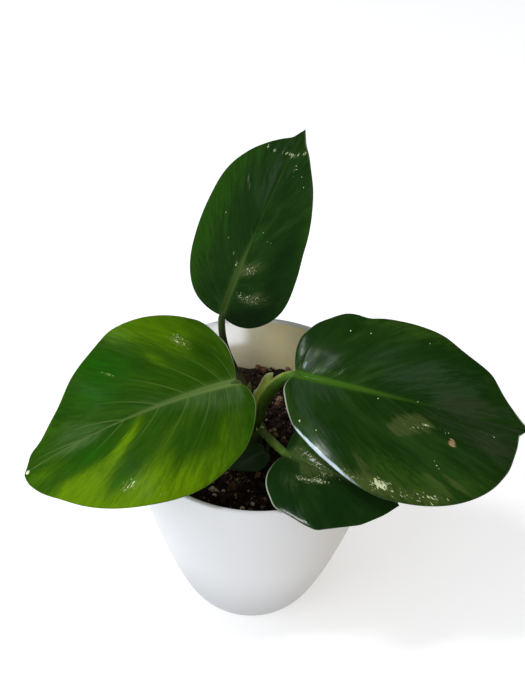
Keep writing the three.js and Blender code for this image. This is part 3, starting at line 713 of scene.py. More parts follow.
def with_midrib(s, colour, look, along, out):
    """The paler midrib with a soft glow beside it, narrower and fainter towards the tip."""
    rib_colour, width, tip_width, end = look["rib"]
    from_rib = s.math("DIVIDE", out, s.ramp(along, 0, end, width, tip_width))
    fade = s.ramp(along, end * 0.4, end, 1, look["rib_left"])
    # Painted light and shade: the rib's colour scaled near the base
    shaded_base_colour = [look["rib_base"] * part for part in rib_colour]
    rib_colour = s.mix(s.ramp(along, 0, 0.35), shaded_base_colour, rib_colour)
    for strength, low, high in ((0.25, 0.6, 2.2), (1, 0.45, 1.15)):
        on_rib = s.ramp(from_rib, low, high, strength, 0)
        colour = s.mix(s.times(on_rib, fade), colour, rib_colour)
    return colour


# Looks of the leaves. A place on a blade is its share of the way along, its share of the way
# across, left below 0 and right above, how far it reaches both ways, and then an amount. A tint is
# a colour and its places. A rib is its colour, its half width at the foot and at the tip, and where
# it is thinnest. A speck is a place and a radius in millimetres, and the amount of a fleck cluster
# is a count. Painted glints, the glow round them, and the flecks and specks are painted highlights.
COMMON_LOOK = dict(
    # The scale of the rib's colour near its base is painted light and shade.
    under=(0.05, 0.11, 0.03), veins=None, ragged=0.35, tint_edge=(0.12, 0.95), rib_base=1,
    quilt=0.06, wander=0.3, crinkle=0.04, lean=(0.1, 0.1), tints={}, glitter=(), dull=(),
    shimmer=(), rims=(), flecks=(), specks=(),
)


def leaf_look(**own):
    """One leaf's look: its own values over those that the leaves share."""
    return {**COMMON_LOOK, **own}


LEAF_LOOKS = {
    "top": leaf_look(
        dark=(0.007, 0.027, 0.0035), mid=(0.011, 0.036, 0.005), light=(0.02, 0.056, 0.009),
        rib=((0.05, 0.095, 0.018), 2.6, 0.8, 0.5), rib_base=0.6, rib_left=0.12,
        edge=(0.02, 0.045, 0.012), glow=(0.045, 0.075, 0.018), streak=0.6, grain=0.14,
        roughness=0.3, specular=0.03, quilt=0.08, crinkle=0.05, lean=(0.08, 0.08),
        # Painted glints: bright points of reflected light and their glow
        glitter=((0.34, 0.25, 0.025, 0.15, 0.5), (0.33, 0.45, 0.03, 0.15, 0.5),
                 (0.49, 0.24, 0.03, 0.1, 0.8), (0.5, 0.1, 0.02, 0.08, 0.5),
                 (0.932, 0, 0.006, 0.15, 0.8), (0.9, 0.65, 0.01, 0.1, 0.9),
                 (0.87, 0.9, 0.012, 0.05, 1), (0.81, -0.84, 0.01, 0.04, 0.8),
                 (0.89, -0.6, 0.008, 0.06, 0.8)),
        tints=dict(
            green=((0.015, 0.054, 0.004), (0.25, -0.9, 0.12, 0.35, 0.8),
                   (0.45, -0.85, 0.12, 0.3, 1), (0.6, -1, 0.15, 0.2, 0.8),
                   (0.5, 1, 0.2, 0.15, 0.6)),
            # Painted sheen: a grey veil of reflected light
            grey=((0.018, 0.044, 0.014), (0.8, 0, 0.06, 0.5, 0.35), (0.86, 0.4, 0.05, 0.4, 0.4),
                  (0.35, 0.4, 0.1, 0.3, 0.4)),
            deep=((0.005, 0.014, 0.003), (0.16, 0.6, 0.13, 0.45, 1.5), (0.08, 0.3, 0.08, 0.3, 1),
                  (0.45, 0.75, 0.15, 0.3, 0.7)),
            scratch=((0.05, 0.09, 0.03), (0.66, -0.71, 0.005, 0.05, 1.2),
                     (0.67, -0.62, 0.005, 0.05, 1.2)),
            glow=((0.05, 0.065, 0.02), (0.33, 0.45, 0.05, 0.3, 0.6), (0.49, 0.2, 0.04, 0.25, 0.8),
                  (0.44, 0, 0.1, 0.07, 0.7)),
        ),
        shimmer=((0.34, 0.35, 0.06, 0.4, 1), (0.5, 0.15, 0.05, 0.3, 1), (0.87, 0.6, 0.06, 0.4, 1),
                 (0.85, -0.7, 0.06, 0.3, 1)),
        rims=((0.9, 1, 0.1, 0.2, 0.2),),
        flecks=((0.34, 0.22, 0.02, 0.12, 16), (0.33, 0.45, 0.02, 0.12, 20),
                (0.38, 0.3, 0.02, 0.1, 6), (0.49, 0.24, 0.016, 0.06, 16),
                (0.52, 0.16, 0.015, 0.06, 8), (0.51, -0.08, 0.012, 0.03, 12),
                (0.52, -0.2, 0.01, 0.03, 5), (0.763, -0.94, 0.008, 0.03, 10),
                (0.81, -0.84, 0.008, 0.03, 8), (0.865, -0.71, 0.006, 0.03, 8),
                (0.893, -0.59, 0.005, 0.03, 10), (0.917, -0.36, 0.004, 0.03, 10),
                (0.932, -0.09, 0.004, 0.04, 12), (0.927, 0.19, 0.004, 0.04, 10),
                (0.917, 0.42, 0.005, 0.04, 8), (0.897, 0.66, 0.006, 0.05, 14),
                (0.87, 0.91, 0.01, 0.03, 16), (0.83, 0.65, 0.02, 0.06, 6),
                (0.6, 0.4, 0.015, 0.08, 5)),
        specks=((0.515, -0.63, 0.35), (0.51, -0.39, 0.25), (0.655, 0.22, 0.3), (0.73, 0.86, 0.35),
                (0.775, 0.83, 0.3), (0.85, 0.66, 0.45), (0.83, 0.7, 0.3), (0.765, -0.94, 0.5),
                (0.865, -0.71, 0.3), (0.893, -0.59, 0.4), (0.917, -0.36, 0.4), (0.931, -0.12, 0.5),
                (0.929, 0.02, 0.45), (0.925, 0.24, 0.4), (0.896, 0.68, 0.45), (0.872, 0.88, 0.5),
                (0.865, 0.94, 0.45)),
    ),
    "left": leaf_look(
        dark=(0.016, 0.066, 0.002), mid=(0.025, 0.082, 0.003), light=(0.046, 0.115, 0.004),
        rib=((0.1, 0.165, 0.04), 2.2, 0.45, 0.65), rib_base=1.4, rib_left=0.5,
        veins=(0.12, 0.2, 0.04), edge=(0.1, 0.18, 0.02), under=(0.1, 0.2, 0.03),
        glow=(0.12, 0.19, 0.03), streak=0.6, grain=0.14, roughness=0.32, specular=0.02, ragged=0.16,
        tint_edge=(0, 1.15), crinkle=0.03, lean=(0.05, 0.16),
        # Painted glints: bright points of reflected light and their glow
        glitter=((0.3, 0.6, 0.03, 0.1, 0.9), (0.555, -0.83, 0.025, 0.05, 0.8),
                 (0.615, 0.68, 0.005, 0.08, 0.8)),
        tints=dict(
            # Painted light: the blade lighter at its base beside the midrib, against the shade
            # there
            base=((0.06, 0.115, 0.013), (0.04, 0, 0.06, 0.9, 1), (0.12, 0, 0.15, 0.05, 0.8)),
            # Painted sheen: a grey veil of reflected light
            grey=((0.064, 0.13, 0.034), (0.14, -0.3, 0.09, 0.25, 0.8),
                  (0.3, -0.16, 0.12, 0.15, 0.7), (0.47, -0.08, 0.12, 0.1, 0.5),
                  (0.62, 0.1, 0.08, 0.15, 0.3), (0.84, -0.12, 0.06, 0.22, 0.8),
                  (0.84, 0.35, 0.08, 0.4, 0.5)),
            yellow=((0.11, 0.215, 0.002), (0.55, -1, 0.2, 0.22, 1), (0.7, -0.9, 0.06, 0.3, 1),
                    (0.665, -0.4, 0.022, 0.3, 1.1), (0.38, -0.9, 0.14, 0.25, 0.6),
                    (0.5, -0.75, 0.04, 0.2, 0.6)),
            lime=((0.07, 0.165, 0.002), (0.3, 0.9, 0.1, 0.3, 1), (0.42, 0.95, 0.07, 0.2, 1),
                  (0.46, 0.5, 0.03, 0.15, 0.7), (0.33, 0.6, 0.06, 0.2, 0.6),
                  (0.3, -0.6, 0.03, 0.3, 0.6), (0.9, -0.8, 0.06, 0.3, 0.7)),
            deep=((0.013, 0.09, 0.002), (0.6, 0.8, 0.08, 0.3, 1), (0.76, -0.5, 0.05, 0.25, 0.9),
                  (0.6, -0.8, 0.03, 0.15, 0.7), (0.7, 0.6, 0.06, 0.3, 0.7)),
        ),
        shimmer=((0.3, 0.58, 0.05, 0.2, 1.6), (0.55, -0.85, 0.05, 0.15, 1.4),
                 (0.6, 0.7, 0.03, 0.15, 1)),
        rims=((0.08, 1, 0.05, 0.15, 0.5), (0.1, -1, 0.05, 0.15, 0.3)),
        flecks=((0.3, 0.6, 0.02, 0.06, 18), (0.555, -0.83, 0.014, 0.03, 9),
                (0.615, 0.68, 0.003, 0.06, 8), (0.44, -0.93, 0.01, 0.02, 4)),
        specks=((0.545, -0.84, 0.35), (0.3, 0.55, 0.35)),
    ),
    "right": leaf_look(
        dark=(0.008, 0.031, 0.0035), mid=(0.0125, 0.04, 0.005), light=(0.023, 0.062, 0.01),
        rib=((0.042, 0.115, 0.008), 2.2, 0.8, 0.6), rib_base=1.2, rib_left=0.08,
        edge=(0.02, 0.05, 0.01), glow=(0.085, 0.13, 0.02), streak=0.8, grain=0.12, roughness=0.14,
        specular=0.2,
        # Painted glints: bright points of reflected light and their glow
        glitter=((0.37, 0.88, 0.016, 0.045, 1.8), (0.665, 0.385, 0.008, 0.025, 1.3),
                 (0.42, 0.92, 0.06, 0.06, 0.5), (0.3, 0.93, 0.04, 0.05, 0.55),
                 (0.46, 0.96, 0.03, 0.03, 0.6), (0.62, 0.36, 0.05, 0.12, 0.3),
                 (0.12, -0.22, 0.04, 0.1, 0.4)),
        dull=((0.1, -0.75, 0.09, 0.3, 0.4), (0.26, -0.18, 0.07, 0.12, 0.5),
              (0.19, -0.38, 0.05, 0.14, 0.6), (0.28, -0.26, 0.05, 0.12, 0.8),
              (0.24, 0.8, 0.06, 0.1, 0.4), (0.29, 0.57, 0.05, 0.08, 0.6)),
        tints=dict(
            # Painted shadow where the near lobe meets the stalk
            dip=((0.006, 0.02, 0.005), (0.09, 0.25, 0.03, 0.09, 2), (0.15, 0.14, 0.03, 0.035, 1.6)),
            # Painted sheen: a grey veil of reflected light
            grey=((0.023, 0.05, 0.018), (0.13, 0.25, 0.06, 0.25, 0.9), (0.2, 0.42, 0.08, 0.25, 0.7),
                  (0.3, 0.1, 0.15, 0.12, 0.9), (0.62, -0.45, 0.09, 0.35, 0.8),
                  (0.75, -0.5, 0.06, 0.4, 0.7), (0.87, 0.5, 0.05, 0.5, 0.6),
                  (0.45, -0.5, 0.06, 0.2, 0.5)),
            dusty=((0.027, 0.045, 0.018), (0.8, -0.25, 0.05, 0.35, 0.9),
                   (0.88, -0.6, 0.04, 0.4, 0.9), (0.85, 0.15, 0.04, 0.3, 0.7),
                   (0.82, -0.5, 0.015, 0.3, 0.6), (0.8, 0.75, 0.1, 0.35, 0.8),
                   (0.74, 0.25, 0.05, 0.25, 0.6), (0.93, 0.5, 0.04, 0.5, 0.7)),
            sheen=((0.55, 0.66, 0.72), (0.165, -0.2, 0.02, 0.07, 0.9),
                   (0.18, 0.97, 0.02, 0.03, 0.7), (0.21, 0.96, 0.022, 0.036, 1),
                   (0.24, 0.96, 0.022, 0.04, 1), (0.27, 0.965, 0.02, 0.034, 1),
                   (0.3, 0.975, 0.016, 0.025, 0.8)),
            # Painted reflection: olive sheen where the lamp and its halo are reflected
            olive=((0.05, 0.077, 0.018), (0.225, -0.33, 0.02, 0.1, 1.3),
                   (0.545, 0.43, 0.014, 0.05, 1.5), (0.575, 0.4, 0.016, 0.065, 1.7),
                   (0.605, 0.37, 0.016, 0.08, 1.7), (0.64, 0.36, 0.016, 0.1, 1.7),
                   (0.675, 0.32, 0.016, 0.09, 1.7), (0.31, 0.93, 0.03, 0.08, 0.8),
                   (0.35, 0.9, 0.03, 0.1, 1), (0.4, 0.88, 0.03, 0.12, 1),
                   (0.45, 0.93, 0.04, 0.08, 1), (0.36, 0.72, 0.012, 0.1, 1.2),
                   (0.5, 0.85, 0.012, 0.08, 1.2), (0.54, 0.9, 0.01, 0.08, 1.1)),
            scar=((0.36, 0.24, 0.12), (0.66, 0.63, 0.006, 0.016, 1.6),
                  (0.672, 0.605, 0.007, 0.018, 1.6), (0.684, 0.58, 0.005, 0.016, 1.1)),
            lime=((0.028, 0.07, 0.007), (0.35, -0.12, 0.1, 0.05, 0.8),
                  (0.45, -0.95, 0.2, 0.12, 0.6), (0.58, 0.95, 0.08, 0.12, 0.5),
                  (0.42, 0.8, 0.08, 0.25, 0.8)),
        ),
        shimmer=((0.38, 0.88, 0.06, 0.2, 1.3), (0.15, -0.3, 0.1, 0.3, -0.3),
                 (0.65, 0.38, 0.05, 0.2, 1)),
        rims=((0.1, 1, 0.06, 0.2, 0.8), (0.93, -1, 0.04, 0.3, 0.6), (0.88, 1, 0.03, 0.2, 0.7)),
        flecks=((0.375, 0.87, 0.014, 0.03, 34), (0.345, 0.92, 0.012, 0.03, 10),
                (0.44, 0.92, 0.03, 0.04, 12), (0.66, 0.39, 0.006, 0.015, 10),
                (0.63, 0.4, 0.03, 0.05, 6), (0.82, 0.7, 0.01, 0.04, 5), (0.55, 0.73, 0.02, 0.04, 4),
                (0.7, 0.5, 0.02, 0.05, 5)),
        specks=((0.29, -0.74, 0.5), (0.345, -0.73, 0.45), (0.583, 0.08, 0.55), (0.183, 0.77, 0.7),
                (0.247, 0.66, 0.45), (0.716, -0.03, 0.4), (0.505, -0.84, 0.35), (0.55, 0.74, 0.4),
                (0.818, 0.72, 0.45), (0.663, 0.39, 0.6)),
    ),
    "low": leaf_look(
        dark=(0.007, 0.027, 0.004), mid=(0.0105, 0.035, 0.0055), light=(0.018, 0.05, 0.008),
        rib=((0.055, 0.095, 0.022), 2, 0.9, 0.7), rib_left=0.1, edge=(0.03, 0.06, 0.02),
        glow=(0.07, 0.105, 0.022), streak=0.4, grain=0.1, roughness=0.16, specular=0.2, wander=0.2,
        # Painted glints: bright points of reflected light and their glow
        glitter=((0.45, 0.32, 0.1, 0.05, 1), (0.56, 0.27, 0.05, 0.06, 1.2),
                 (0.62, 0.02, 0.06, 0.1, 1.2), (0.5, -0.02, 0.1, 0.05, 0.8),
                 (0.35, -0.12, 0.1, 0.04, 0.6)),
        tints=dict(
            # Painted sheen: olive shine along the midrib round the glints
            olive=((0.05, 0.08, 0.02), (0.5, 0.1, 0.15, 0.15, 1), (0.3, 0.45, 0.1, 0.2, 0.5),
                   (0.3, -0.15, 0.15, 0.12, 1), (0.52, -0.12, 0.1, 0.12, 0.9)),
            lime=((0.04, 0.09, 0.012), (0.3, -0.5, 0.12, 0.3, 0.9), (0.45, -0.35, 0.1, 0.25, 0.7)),
        ),
        shimmer=((0.42, 0.33, 0.1, 0.15, 1.4), (0.55, 0.25, 0.08, 0.15, 1.4)),
        rims=((0.17, 1, 0.1, 0.15, 0.9),),
        flecks=((0.39, 0.34, 0.02, 0.04, 12), (0.46, 0.31, 0.02, 0.04, 10),
                (0.54, 0.27, 0.02, 0.05, 16), (0.57, -0.02, 0.03, 0.08, 24),
                (0.6, 0.1, 0.03, 0.08, 20), (0.45, -0.14, 0.05, 0.03, 20),
                (0.3, -0.16, 0.06, 0.02, 10), (0.2, 0.03, 0.05, 0.01, 6)),
        specks=((0.455, 0.32, 0.4), (0.5, 0.3, 0.3), (0.53, 0.28, 0.45), (0.56, 0.28, 0.35),
                (0.6, 0.27, 0.5), (0.625, 0.26, 0.35), (0.65, 0.04, 0.35), (0.7, 0.08, 0.4)),
    ),
    "small": leaf_look(
        dark=(0.015, 0.038, 0.011), mid=(0.024, 0.052, 0.015), light=(0.034, 0.066, 0.02),
        rib=((0.04, 0.07, 0.024), 0.8, 0.3, 0.9), rib_left=0.3, edge=(0.015, 0.035, 0.012),
        glow=(0.02, 0.05, 0.014), streak=0.2, grain=0.1, roughness=0.4, specular=0.3, ragged=0.3,
        quilt=0.03, wander=0.1, crinkle=0.02,
        shimmer=((0.5, 0, 0.5, 0.5, 0.3),),
    ),
}

# Rows and columns of each blade's mesh
BLADE_GRIDS = {"top": (190, 62), "left": (210, 76), "right": (210, 78), "low": (140, 52),
               "small": (80, 30)}

# Painted glints as pale flecks: dull and bright colours on the dark leaves and on the lit left one,
# then how closely they gather, their least radius and how much larger the largest are
FLECK_COLOURS = (0.035, 0.06, 0.012), (0.85, 0.88, 0.55)
LIT_FLECK_COLOURS = (0.16, 0.26, 0.03), (0.62, 0.7, 0.13)
FLECK_SPREAD = 0.6
FLECK_LEAST = 0.08
FLECK_MORE = 0.26
FLECK_SEED = 23

# The drop at the left leaf's tip: its place on the blade, its half sizes and its seed
DROPLET_AT = (0.985, -0.58)
DROPLET_SIZE = (1.1, 0.9, 0.6)
DROPLET_SEED = 1


def on_blade(surface, along, across):
    """A place on a blade's upper face, with its outward, sideways and normal directions."""
    rows, columns = surface.shape[0] - 1, surface.shape[1] // 2
    row = np.clip(along * rows, 3, rows - 4)
    column = columns + np.sign(across) * columns * min(abs(across), 0.99) ** (1 / ACROSS_POWER)
    i, j = int(row), int(np.clip(column, 1, 2 * columns - 2))
    s, t = row - i, column - j
    place = ((surface[i, j] * (1 - t) + surface[i, j + 1] * t) * (1 - s)
             + (surface[i + 1, j] * (1 - t) + surface[i + 1, j + 1] * t) * s)
    outward = unit(surface[i, j + 1] - surface[i, j - 1])
    normal = unit(np.cross(outward, surface[i + 1, j] - surface[i - 1, j]))
    return place, np.stack([outward, np.cross(normal, outward), normal])


def make_flecks(surfaces):
    """Painted glints: small pale flecks on the upper faces, in clusters and one by one."""
    draw = np.random.default_rng(FLECK_SEED)
    flecks = Builder()

    def add(key, along, across, size, tone):
        place, axes = on_blade(surfaces[key], along, across)
        points, faces = crumb_shape(draw, (2, 6))
        flecks.add((points * size) @ axes + place, faces, tone=tone, lit=key == "left")

    for key in surfaces:
        for a, c, reach_a, reach_c, count in LEAF_LOOKS[key]["flecks"]:
            for _ in range(count):
                along = a + reach_a * draw.normal() * FLECK_SPREAD
                across = c + reach_c * draw.normal() * FLECK_SPREAD
                radius = FLECK_LEAST + FLECK_MORE * draw.random() ** 4
                add(key, along, across, (radius * draw.uniform(1, 3.5), radius, 0.05),
                    draw.random() ** 1.6)
        for a, c, radius in LEAF_LOOKS[key]["specks"]:
            add(key, a, c, (radius, radius * 0.7, 0.1), 0.7)
    place, axes = on_blade(surfaces["left"], *DROPLET_AT)
    points, faces = crumb_shape(np.random.default_rng(DROPLET_SEED), (8, 14))
    flecks.add((unit(points) * DROPLET_SIZE) @ axes + place, faces, tone=1.0, lit=0)
    s = Shader("fleck")
    lit = s.attribute("lit")
    dull, bright = (s.mix(lit, *pair) for pair in zip(FLECK_COLOURS, LIT_FLECK_COLOURS))
    colour = s.mix(s.attribute("tone"), dull, bright)
    register(flecks.make("leaf_flecks", s.finish(colour, 0.3)), "leaf_right")


def make_leaves():
    """The five blades, each for its own solid, and the flecks that lie on them."""
    surfaces = {}
    for key, look in LEAF_LOOKS.items():
        blade, surfaces[key] = make_blade(key, leaf_material(key, look), *BLADE_GRIDS[key], look)
        register(blade, f"leaf_{key}", f"blade_{key}")
    make_flecks(surfaces)


# Stalks and stem

# The green of each stalk near its foot and higher up, of its sheath, and where it meets the midrib
STALK_COLOURS = {
    "top": ((0.06, 0.062, 0.026), (0.009, 0.016, 0.003), (0.05, 0.06, 0.02), (0.03, 0.055, 0.01)),
    "left": ((0.012, 0.03, 0.004), (0.012, 0.03, 0.004), (0.1, 0.14, 0.025), (0.07, 0.12, 0.025)),
    "right": ((0.06, 0.1, 0.009), (0.038, 0.085, 0.007), (0.17, 0.21, 0.025), (0.05, 0.13, 0.012)),
    "low": ((0.05, 0.075, 0.018), (0.062, 0.108, 0.016), (0.36, 0.4, 0.15), (0.075, 0.14, 0.018)),
    "small": ((0.012, 0.025, 0.008), (0.012, 0.025, 0.008), (0.02, 0.04, 0.01), (0.02, 0.04, 0.01)),
}
STALK_LIP = (0.4, 0.42, 0.22)
STEM_GREENS = (0.035, 0.06, 0.015), (0.09, 0.12, 0.035)
STEM_SCAR = (0.12, 0.075, 0.035)


def stalk_material(key):
    """A stalk's skin: its own green, lighter out along the thin sheath, pale at the very edge."""
    foot, body, sheath, top = STALK_COLOURS[key]
    s = Shader(f"stalk_{key}")
    grain = s.noise(220, 3, 0.6)
    flecks = s.noise(700, 2, 0.5)
    base = s.mix(s.ramp(s.attribute("height"), 0.3, 0.65), foot, body)
    base = s.mix(s.ramp(s.attribute("height"), 0.8, 1.0), base, top)
    lip = s.attribute("edge")
    base = s.mix(s.ramp(lip, 0.15, 0.6), base, sheath)
    base = s.mix(s.ramp(lip, 0.85, 1.0, 0, 0.8), base, STALK_LIP)
    base = s.mix(s.ramp(flecks, 0.62, 0.75, 0, 0.2), base, sheath)
    base = s.shaded(base, s.ramp(grain, 0.3, 0.7, 0.82, 1.18))
    normal = s.bump(s.plus(grain, s.times(flecks, 0.3)), strength=0.25, depth=0.4)
    return s.finish(base, 0.42, normal, Specular_IOR_Level=0.15)


def stalk_frames(curve):
    """Directions that turn as little as possible along a curve of points."""
    forward = unit(np.gradient(curve, axis=0))
    first = unit(np.cross(forward[0], (0.3, 1, 0.2)))
    sides = [first]
    for step in range(1, len(curve)):
        sides.append(unit(sides[-1] - forward[step] * np.dot(sides[-1], forward[step])))
    sides = np.array(sides)
    return forward, sides, np.cross(forward, sides)


def tube(curve, radii, sides):
    """A closed tube along points."""
    _, across, other = stalk_frames(curve)
    angle = circle(sides)[1]
    ring = (across[:, None] * np.cos(angle)[None, :, None]
            + other[:, None] * np.sin(angle)[None, :, None])
    points = curve[:, None] + ring * np.asarray(radii)[:, None, None]
    return points.reshape(-1, 3), tube_faces(len(curve), sides)


def wing_edges(wing, share, centre, forward, side, other):
    """Where a wing's free edge is seen from each ring: angle, distance and how far ahead."""
    low, high = wing["span"]
    along = (share - low) / (high - low)
    edge = catmull(wing["edge"], along) - centre
    x, y = (edge * side).sum(-1), (edge * other).sum(-1)
    present = (along >= 0) & (along <= 1)
    return np.arctan2(y, x), np.where(present, np.hypot(x, y), 0), (edge * forward).sum(-1)


def wing_share(radius, distance, turn):
    """How far a round section is drawn out towards a wing's edge, at a turn away from it."""
    wide = np.maximum(distance, radius * 1.001)
    shoulder = np.arccos(radius / wide)
    drawn = 1 / np.cos(np.maximum(0, shoulder - turn)) - 1
    share = (drawn / (wide / radius - 1)) ** WING_SLIMNESS
    return np.where(distance > radius, share, 0)


def stalk_path(leaf, steps=110, more=12):
    """Centre points, radii and shares of the length of a stalk, carried on into the midrib."""
    corners = np.array(leaf["stalk"], float)
    corners[2:] += unit(corners[2] - corners[3]) * leaf["stalk_seat"]
    centre = even_steps(bezier(corners, np.linspace(0, 1, 400)), steps + 1)
    share = np.linspace(0, 1, steps + 1)
    foot, middle, top = leaf["stalk_radius"]
    radius = foot * (1 - share) * (1 - 2 * share) + 4 * middle * share * (1 - share)
    radius = radius + top * share * (2 * share - 1)
    place, forward, _, up = (part[0] for part in midrib(leaf))
    seat = place + forward * SEAT_AHEAD - up * (0.5 + leaf["rib"] * 0.4)
    leaving = unit(centre[-1] - centre[-2]) * leaf["stalk_seat"] * 1.2
    ending = (centre[-1], centre[-1] + leaving, seat - forward * 2.5, seat)
    centre = np.vstack([centre, bezier(ending, np.linspace(0, 1, more + 1)[1:])])
    radius = np.concatenate([radius, np.linspace(top, leaf["rib"] * 0.5, more + 1)[1:]])
    return centre, radius, np.concatenate([share, np.full(more, 1.01)])


def make_stalk(key, leaf, material, sides=90):
    """A stalk with its thin wings as one skin."""
    centre, radius, share = stalk_path(leaf)
    forward, side, other = stalk_frames(centre)
    edges = [wing_edges(wing, share, centre, forward, side, other) for wing in leaf["wings"]]
    first = edges[0][0] if edges else np.zeros(len(share))
    angle = first[:, None] + circle(sides)[1]
    reach = np.repeat(radius[:, None], sides, axis=1)
    drawn, ahead, pale = np.zeros((3, *reach.shape))
    for wing, (where, distance, beyond) in zip(leaf["wings"], edges):
        turn = np.abs((angle - where[:, None] + math.pi) % (2 * math.pi) - math.pi)
        out = wing_share(radius[:, None], distance[:, None], turn)
        wanted = radius[:, None] + (distance - radius)[:, None] * out
        more_out = wanted > reach
        reach = np.where(more_out, wanted, reach)
        ahead = np.where(more_out, beyond[:, None] * out, ahead)
        drawn = np.where(more_out, out, drawn)
        pale = np.where(more_out, out**0.4 * wing["pale"], pale)
        # Painted light: a wing's spread carries the pale colour round the side that faces its edge.
        pale = np.maximum(pale, wing.get("spread", 0) * smoothstep(-0.7, 0.7, np.cos(turn)))
    reach = reach + 0.04 * np.sin(angle * 13 + share[:, None] * 5) * (1 - drawn)
    points = (centre[:, None] + side[:, None] * (reach * np.cos(angle))[..., None]
              + other[:, None] * (reach * np.sin(angle))[..., None]
              + forward[:, None] * ahead[..., None])
    values = dict(edge=pale.reshape(-1), height=np.repeat(np.minimum(share, 1), sides))
    faces = tube_faces(len(centre), sides)
    return new_object(f"stalk_{key}", points.reshape(-1, 3), faces, material, values)


def make_stalks():
    """The five stalks, each for its own solid."""
    for key, leaf in LEAVES.items():
        stalk = make_stalk(key, leaf, stalk_material(key))
        register(stalk, "stalk", f"stalk_{key}")


def make_stem():
    """A short stout stem with a proud scar ring at every leaf that it has lost."""
    s = Shader("stem")
    grain = s.noise(260, 4, 0.6)
    colour = s.mix(s.ramp(grain, 0.35, 0.65), *STEM_GREENS)
    colour = s.mix(s.ramp(s.attribute("ring"), 0.4, 1.0, 0, 0.7), colour, STEM_SCAR)
    material = s.finish(colour, 0.6, s.bump(grain, strength=0.5, depth=0.6))
    rings, sides = 160, 48
    share = np.linspace(0, 1, rings)
    height = STEM_FOOT_Z + (STEM_TOP_Z - STEM_FOOT_Z) * share
    crest = STEM_RING_STEP * STEM_RING_CREST
    from_crest = (height - STEM_FOOT_Z) % STEM_RING_STEP - crest
    ring = np.exp(-((from_crest / 0.7) ** 2))
    dome = np.sqrt(np.clip((STEM_TOP_Z - height) / STEM_RADIUS, 0.02, 1)) ** 0.8
    radii = (STEM_RADIUS + STEM_RING_PROUD * ring) * dome
    centre = np.stack([np.full(rings, STEM_X), np.full(rings, STEM_Y), height], axis=1)
    points, faces = tube(centre, radii, sides)
    stem = new_object("stem", points, faces, material, dict(ring=np.repeat(ring, sides)))
    register(stem, "stem", "stem")


# Pot

def pot_profile(inset, floor, steps):
    """The pot's profile from the rim down to the flat base, as radius and height."""
    angle = np.linspace(0, math.pi / 2, steps)
    down = (POT_HEIGHT - floor) * np.sin(angle) ** (2 / POT_ROUNDNESS_DOWN)
    out = (POT_RIM_RADIUS - POT_BASE_RADIUS) * np.cos(angle) ** (2 / POT_ROUNDNESS_OUT)
    return np.stack([POT_BASE_RADIUS + out - inset, POT_HEIGHT - down], axis=1)


def pot_material():
    """White glaze with warm painted shade on the right, and soil stain and painted light inside."""
    s = Shader("pot_white")
    level = s.attribute("level")
    sideways = s.node("ShaderNodeSeparateXYZ", {0: s.place()}).outputs[0]
    clouds = s.noise(14, 2, 0.5)
    grain = s.noise(900, 2, 0.5)
    smears = s.noise(60, 4, 0.6)
    colour = s.mix(clouds, *POT_WHITES)
    # Painted shade: the glaze darker towards the bottom
    colour = s.shaded(colour, s.ramp(level, 0, 70, 0.69, 0.98))
    # Painted shade: the right side warmer and darker
    colour = s.mix(s.ramp(sideways, 0, POT_RIM_RADIUS * MM), colour, POT_SHADED_SIDE)
    # Inner wall: soil dust with painted shade, darker on the left than on the right
    dust_shade_and_light = s.mix(s.ramp(sideways, -6 * MM, 16 * MM), *POT_DUST_AND_SHADE)
    # A painted patch of light high up on the left of the inner wall
    light_patch = s.times(s.ramp(sideways, -12 * MM, -4 * MM, 1, 0), s.ramp(level, 111, 117))
    dust_shade_and_light = s.mix(light_patch, dust_shade_and_light, POT_LIGHT_PATCH)
    # How much dust and painted shade lies on the inner wall: less towards the rim, in blotches
    dusty = s.times(s.attribute("inside"), s.ramp(level, 98, POT_HEIGHT, 0.98, 0.85),
                    s.ramp(smears, 0.3, 0.7, 0.7, 1))
    colour = s.mix(dusty, colour, dust_shade_and_light)
    rough = s.ramp(clouds, 0.3, 0.7, 0.3, 0.38)
    normal = s.bump(grain, strength=0.05, depth=0.2)
    return s.finish(colour, rough, normal, Specular_IOR_Level=0.45)


def make_pot(sides=192, steps=60):
    """One skin turned round the z axis: up the inner wall, over the edge, down the outer wall."""
    walls = pot_profile(POT_WALL, POT_FLOOR, steps), pot_profile(0, 0, steps)
    inner, outer = (wall[wall[:, 1] < POT_HEIGHT - POT_EDGE_DEPTH] for wall in walls)
    turn = np.linspace(0, math.pi, 13)
    half_wall = POT_WALL / 2
    rim = np.stack([POT_RIM_RADIUS - half_wall * (1 + np.cos(turn)),
                    POT_HEIGHT - half_wall * (1 - np.sin(turn))], axis=1)
    profile = np.concatenate([inner[::-1], rim, outer])
    points = np.concatenate([*lathe(profile, sides), [(0, 0, POT_FLOOR)], [(0, 0, 0)]])
    faces = [face[::-1] for face in ring_faces(len(profile), sides)]
    faces += fan_faces(len(points) - 2, 0, sides, True)
    faces += fan_faces(len(points) - 1, (len(profile) - 1) * sides, sides, False)
    inside = np.repeat(np.arange(len(profile)) < len(inner), sides).astype(float)
    values = dict(inside=np.concatenate([inside, [1, 0]]), level=points[:, 2])
    register(new_object("pot", points, faces, pot_material(), values), "pot_white", "pot")


# Soil

def soil_height(x, y):
    """The height of the soil's gentle swells and of its low mound."""
    swell = np.sin(x * 0.11 + 0.6) * np.cos(y * 0.09 - 0.4) + 0.5 * np.sin((x + y) * 0.19)
    from_mound = np.hypot(x - SOIL_MOUND_AT[0], y - SOIL_MOUND_AT[1]) / SOIL_MOUND_SPREAD
    return SOIL_Z + SOIL_SWELL * swell + SOIL_MOUND_HEIGHT * np.exp(-(from_mound**2))


def soil_reach():
    """The radius of the pot's inner wall where the soil meets it."""
    profile = pot_profile(POT_WALL, POT_FLOOR, 200)
    return float(np.interp(SOIL_Z, profile[::-1, 1], profile[::-1, 0]))


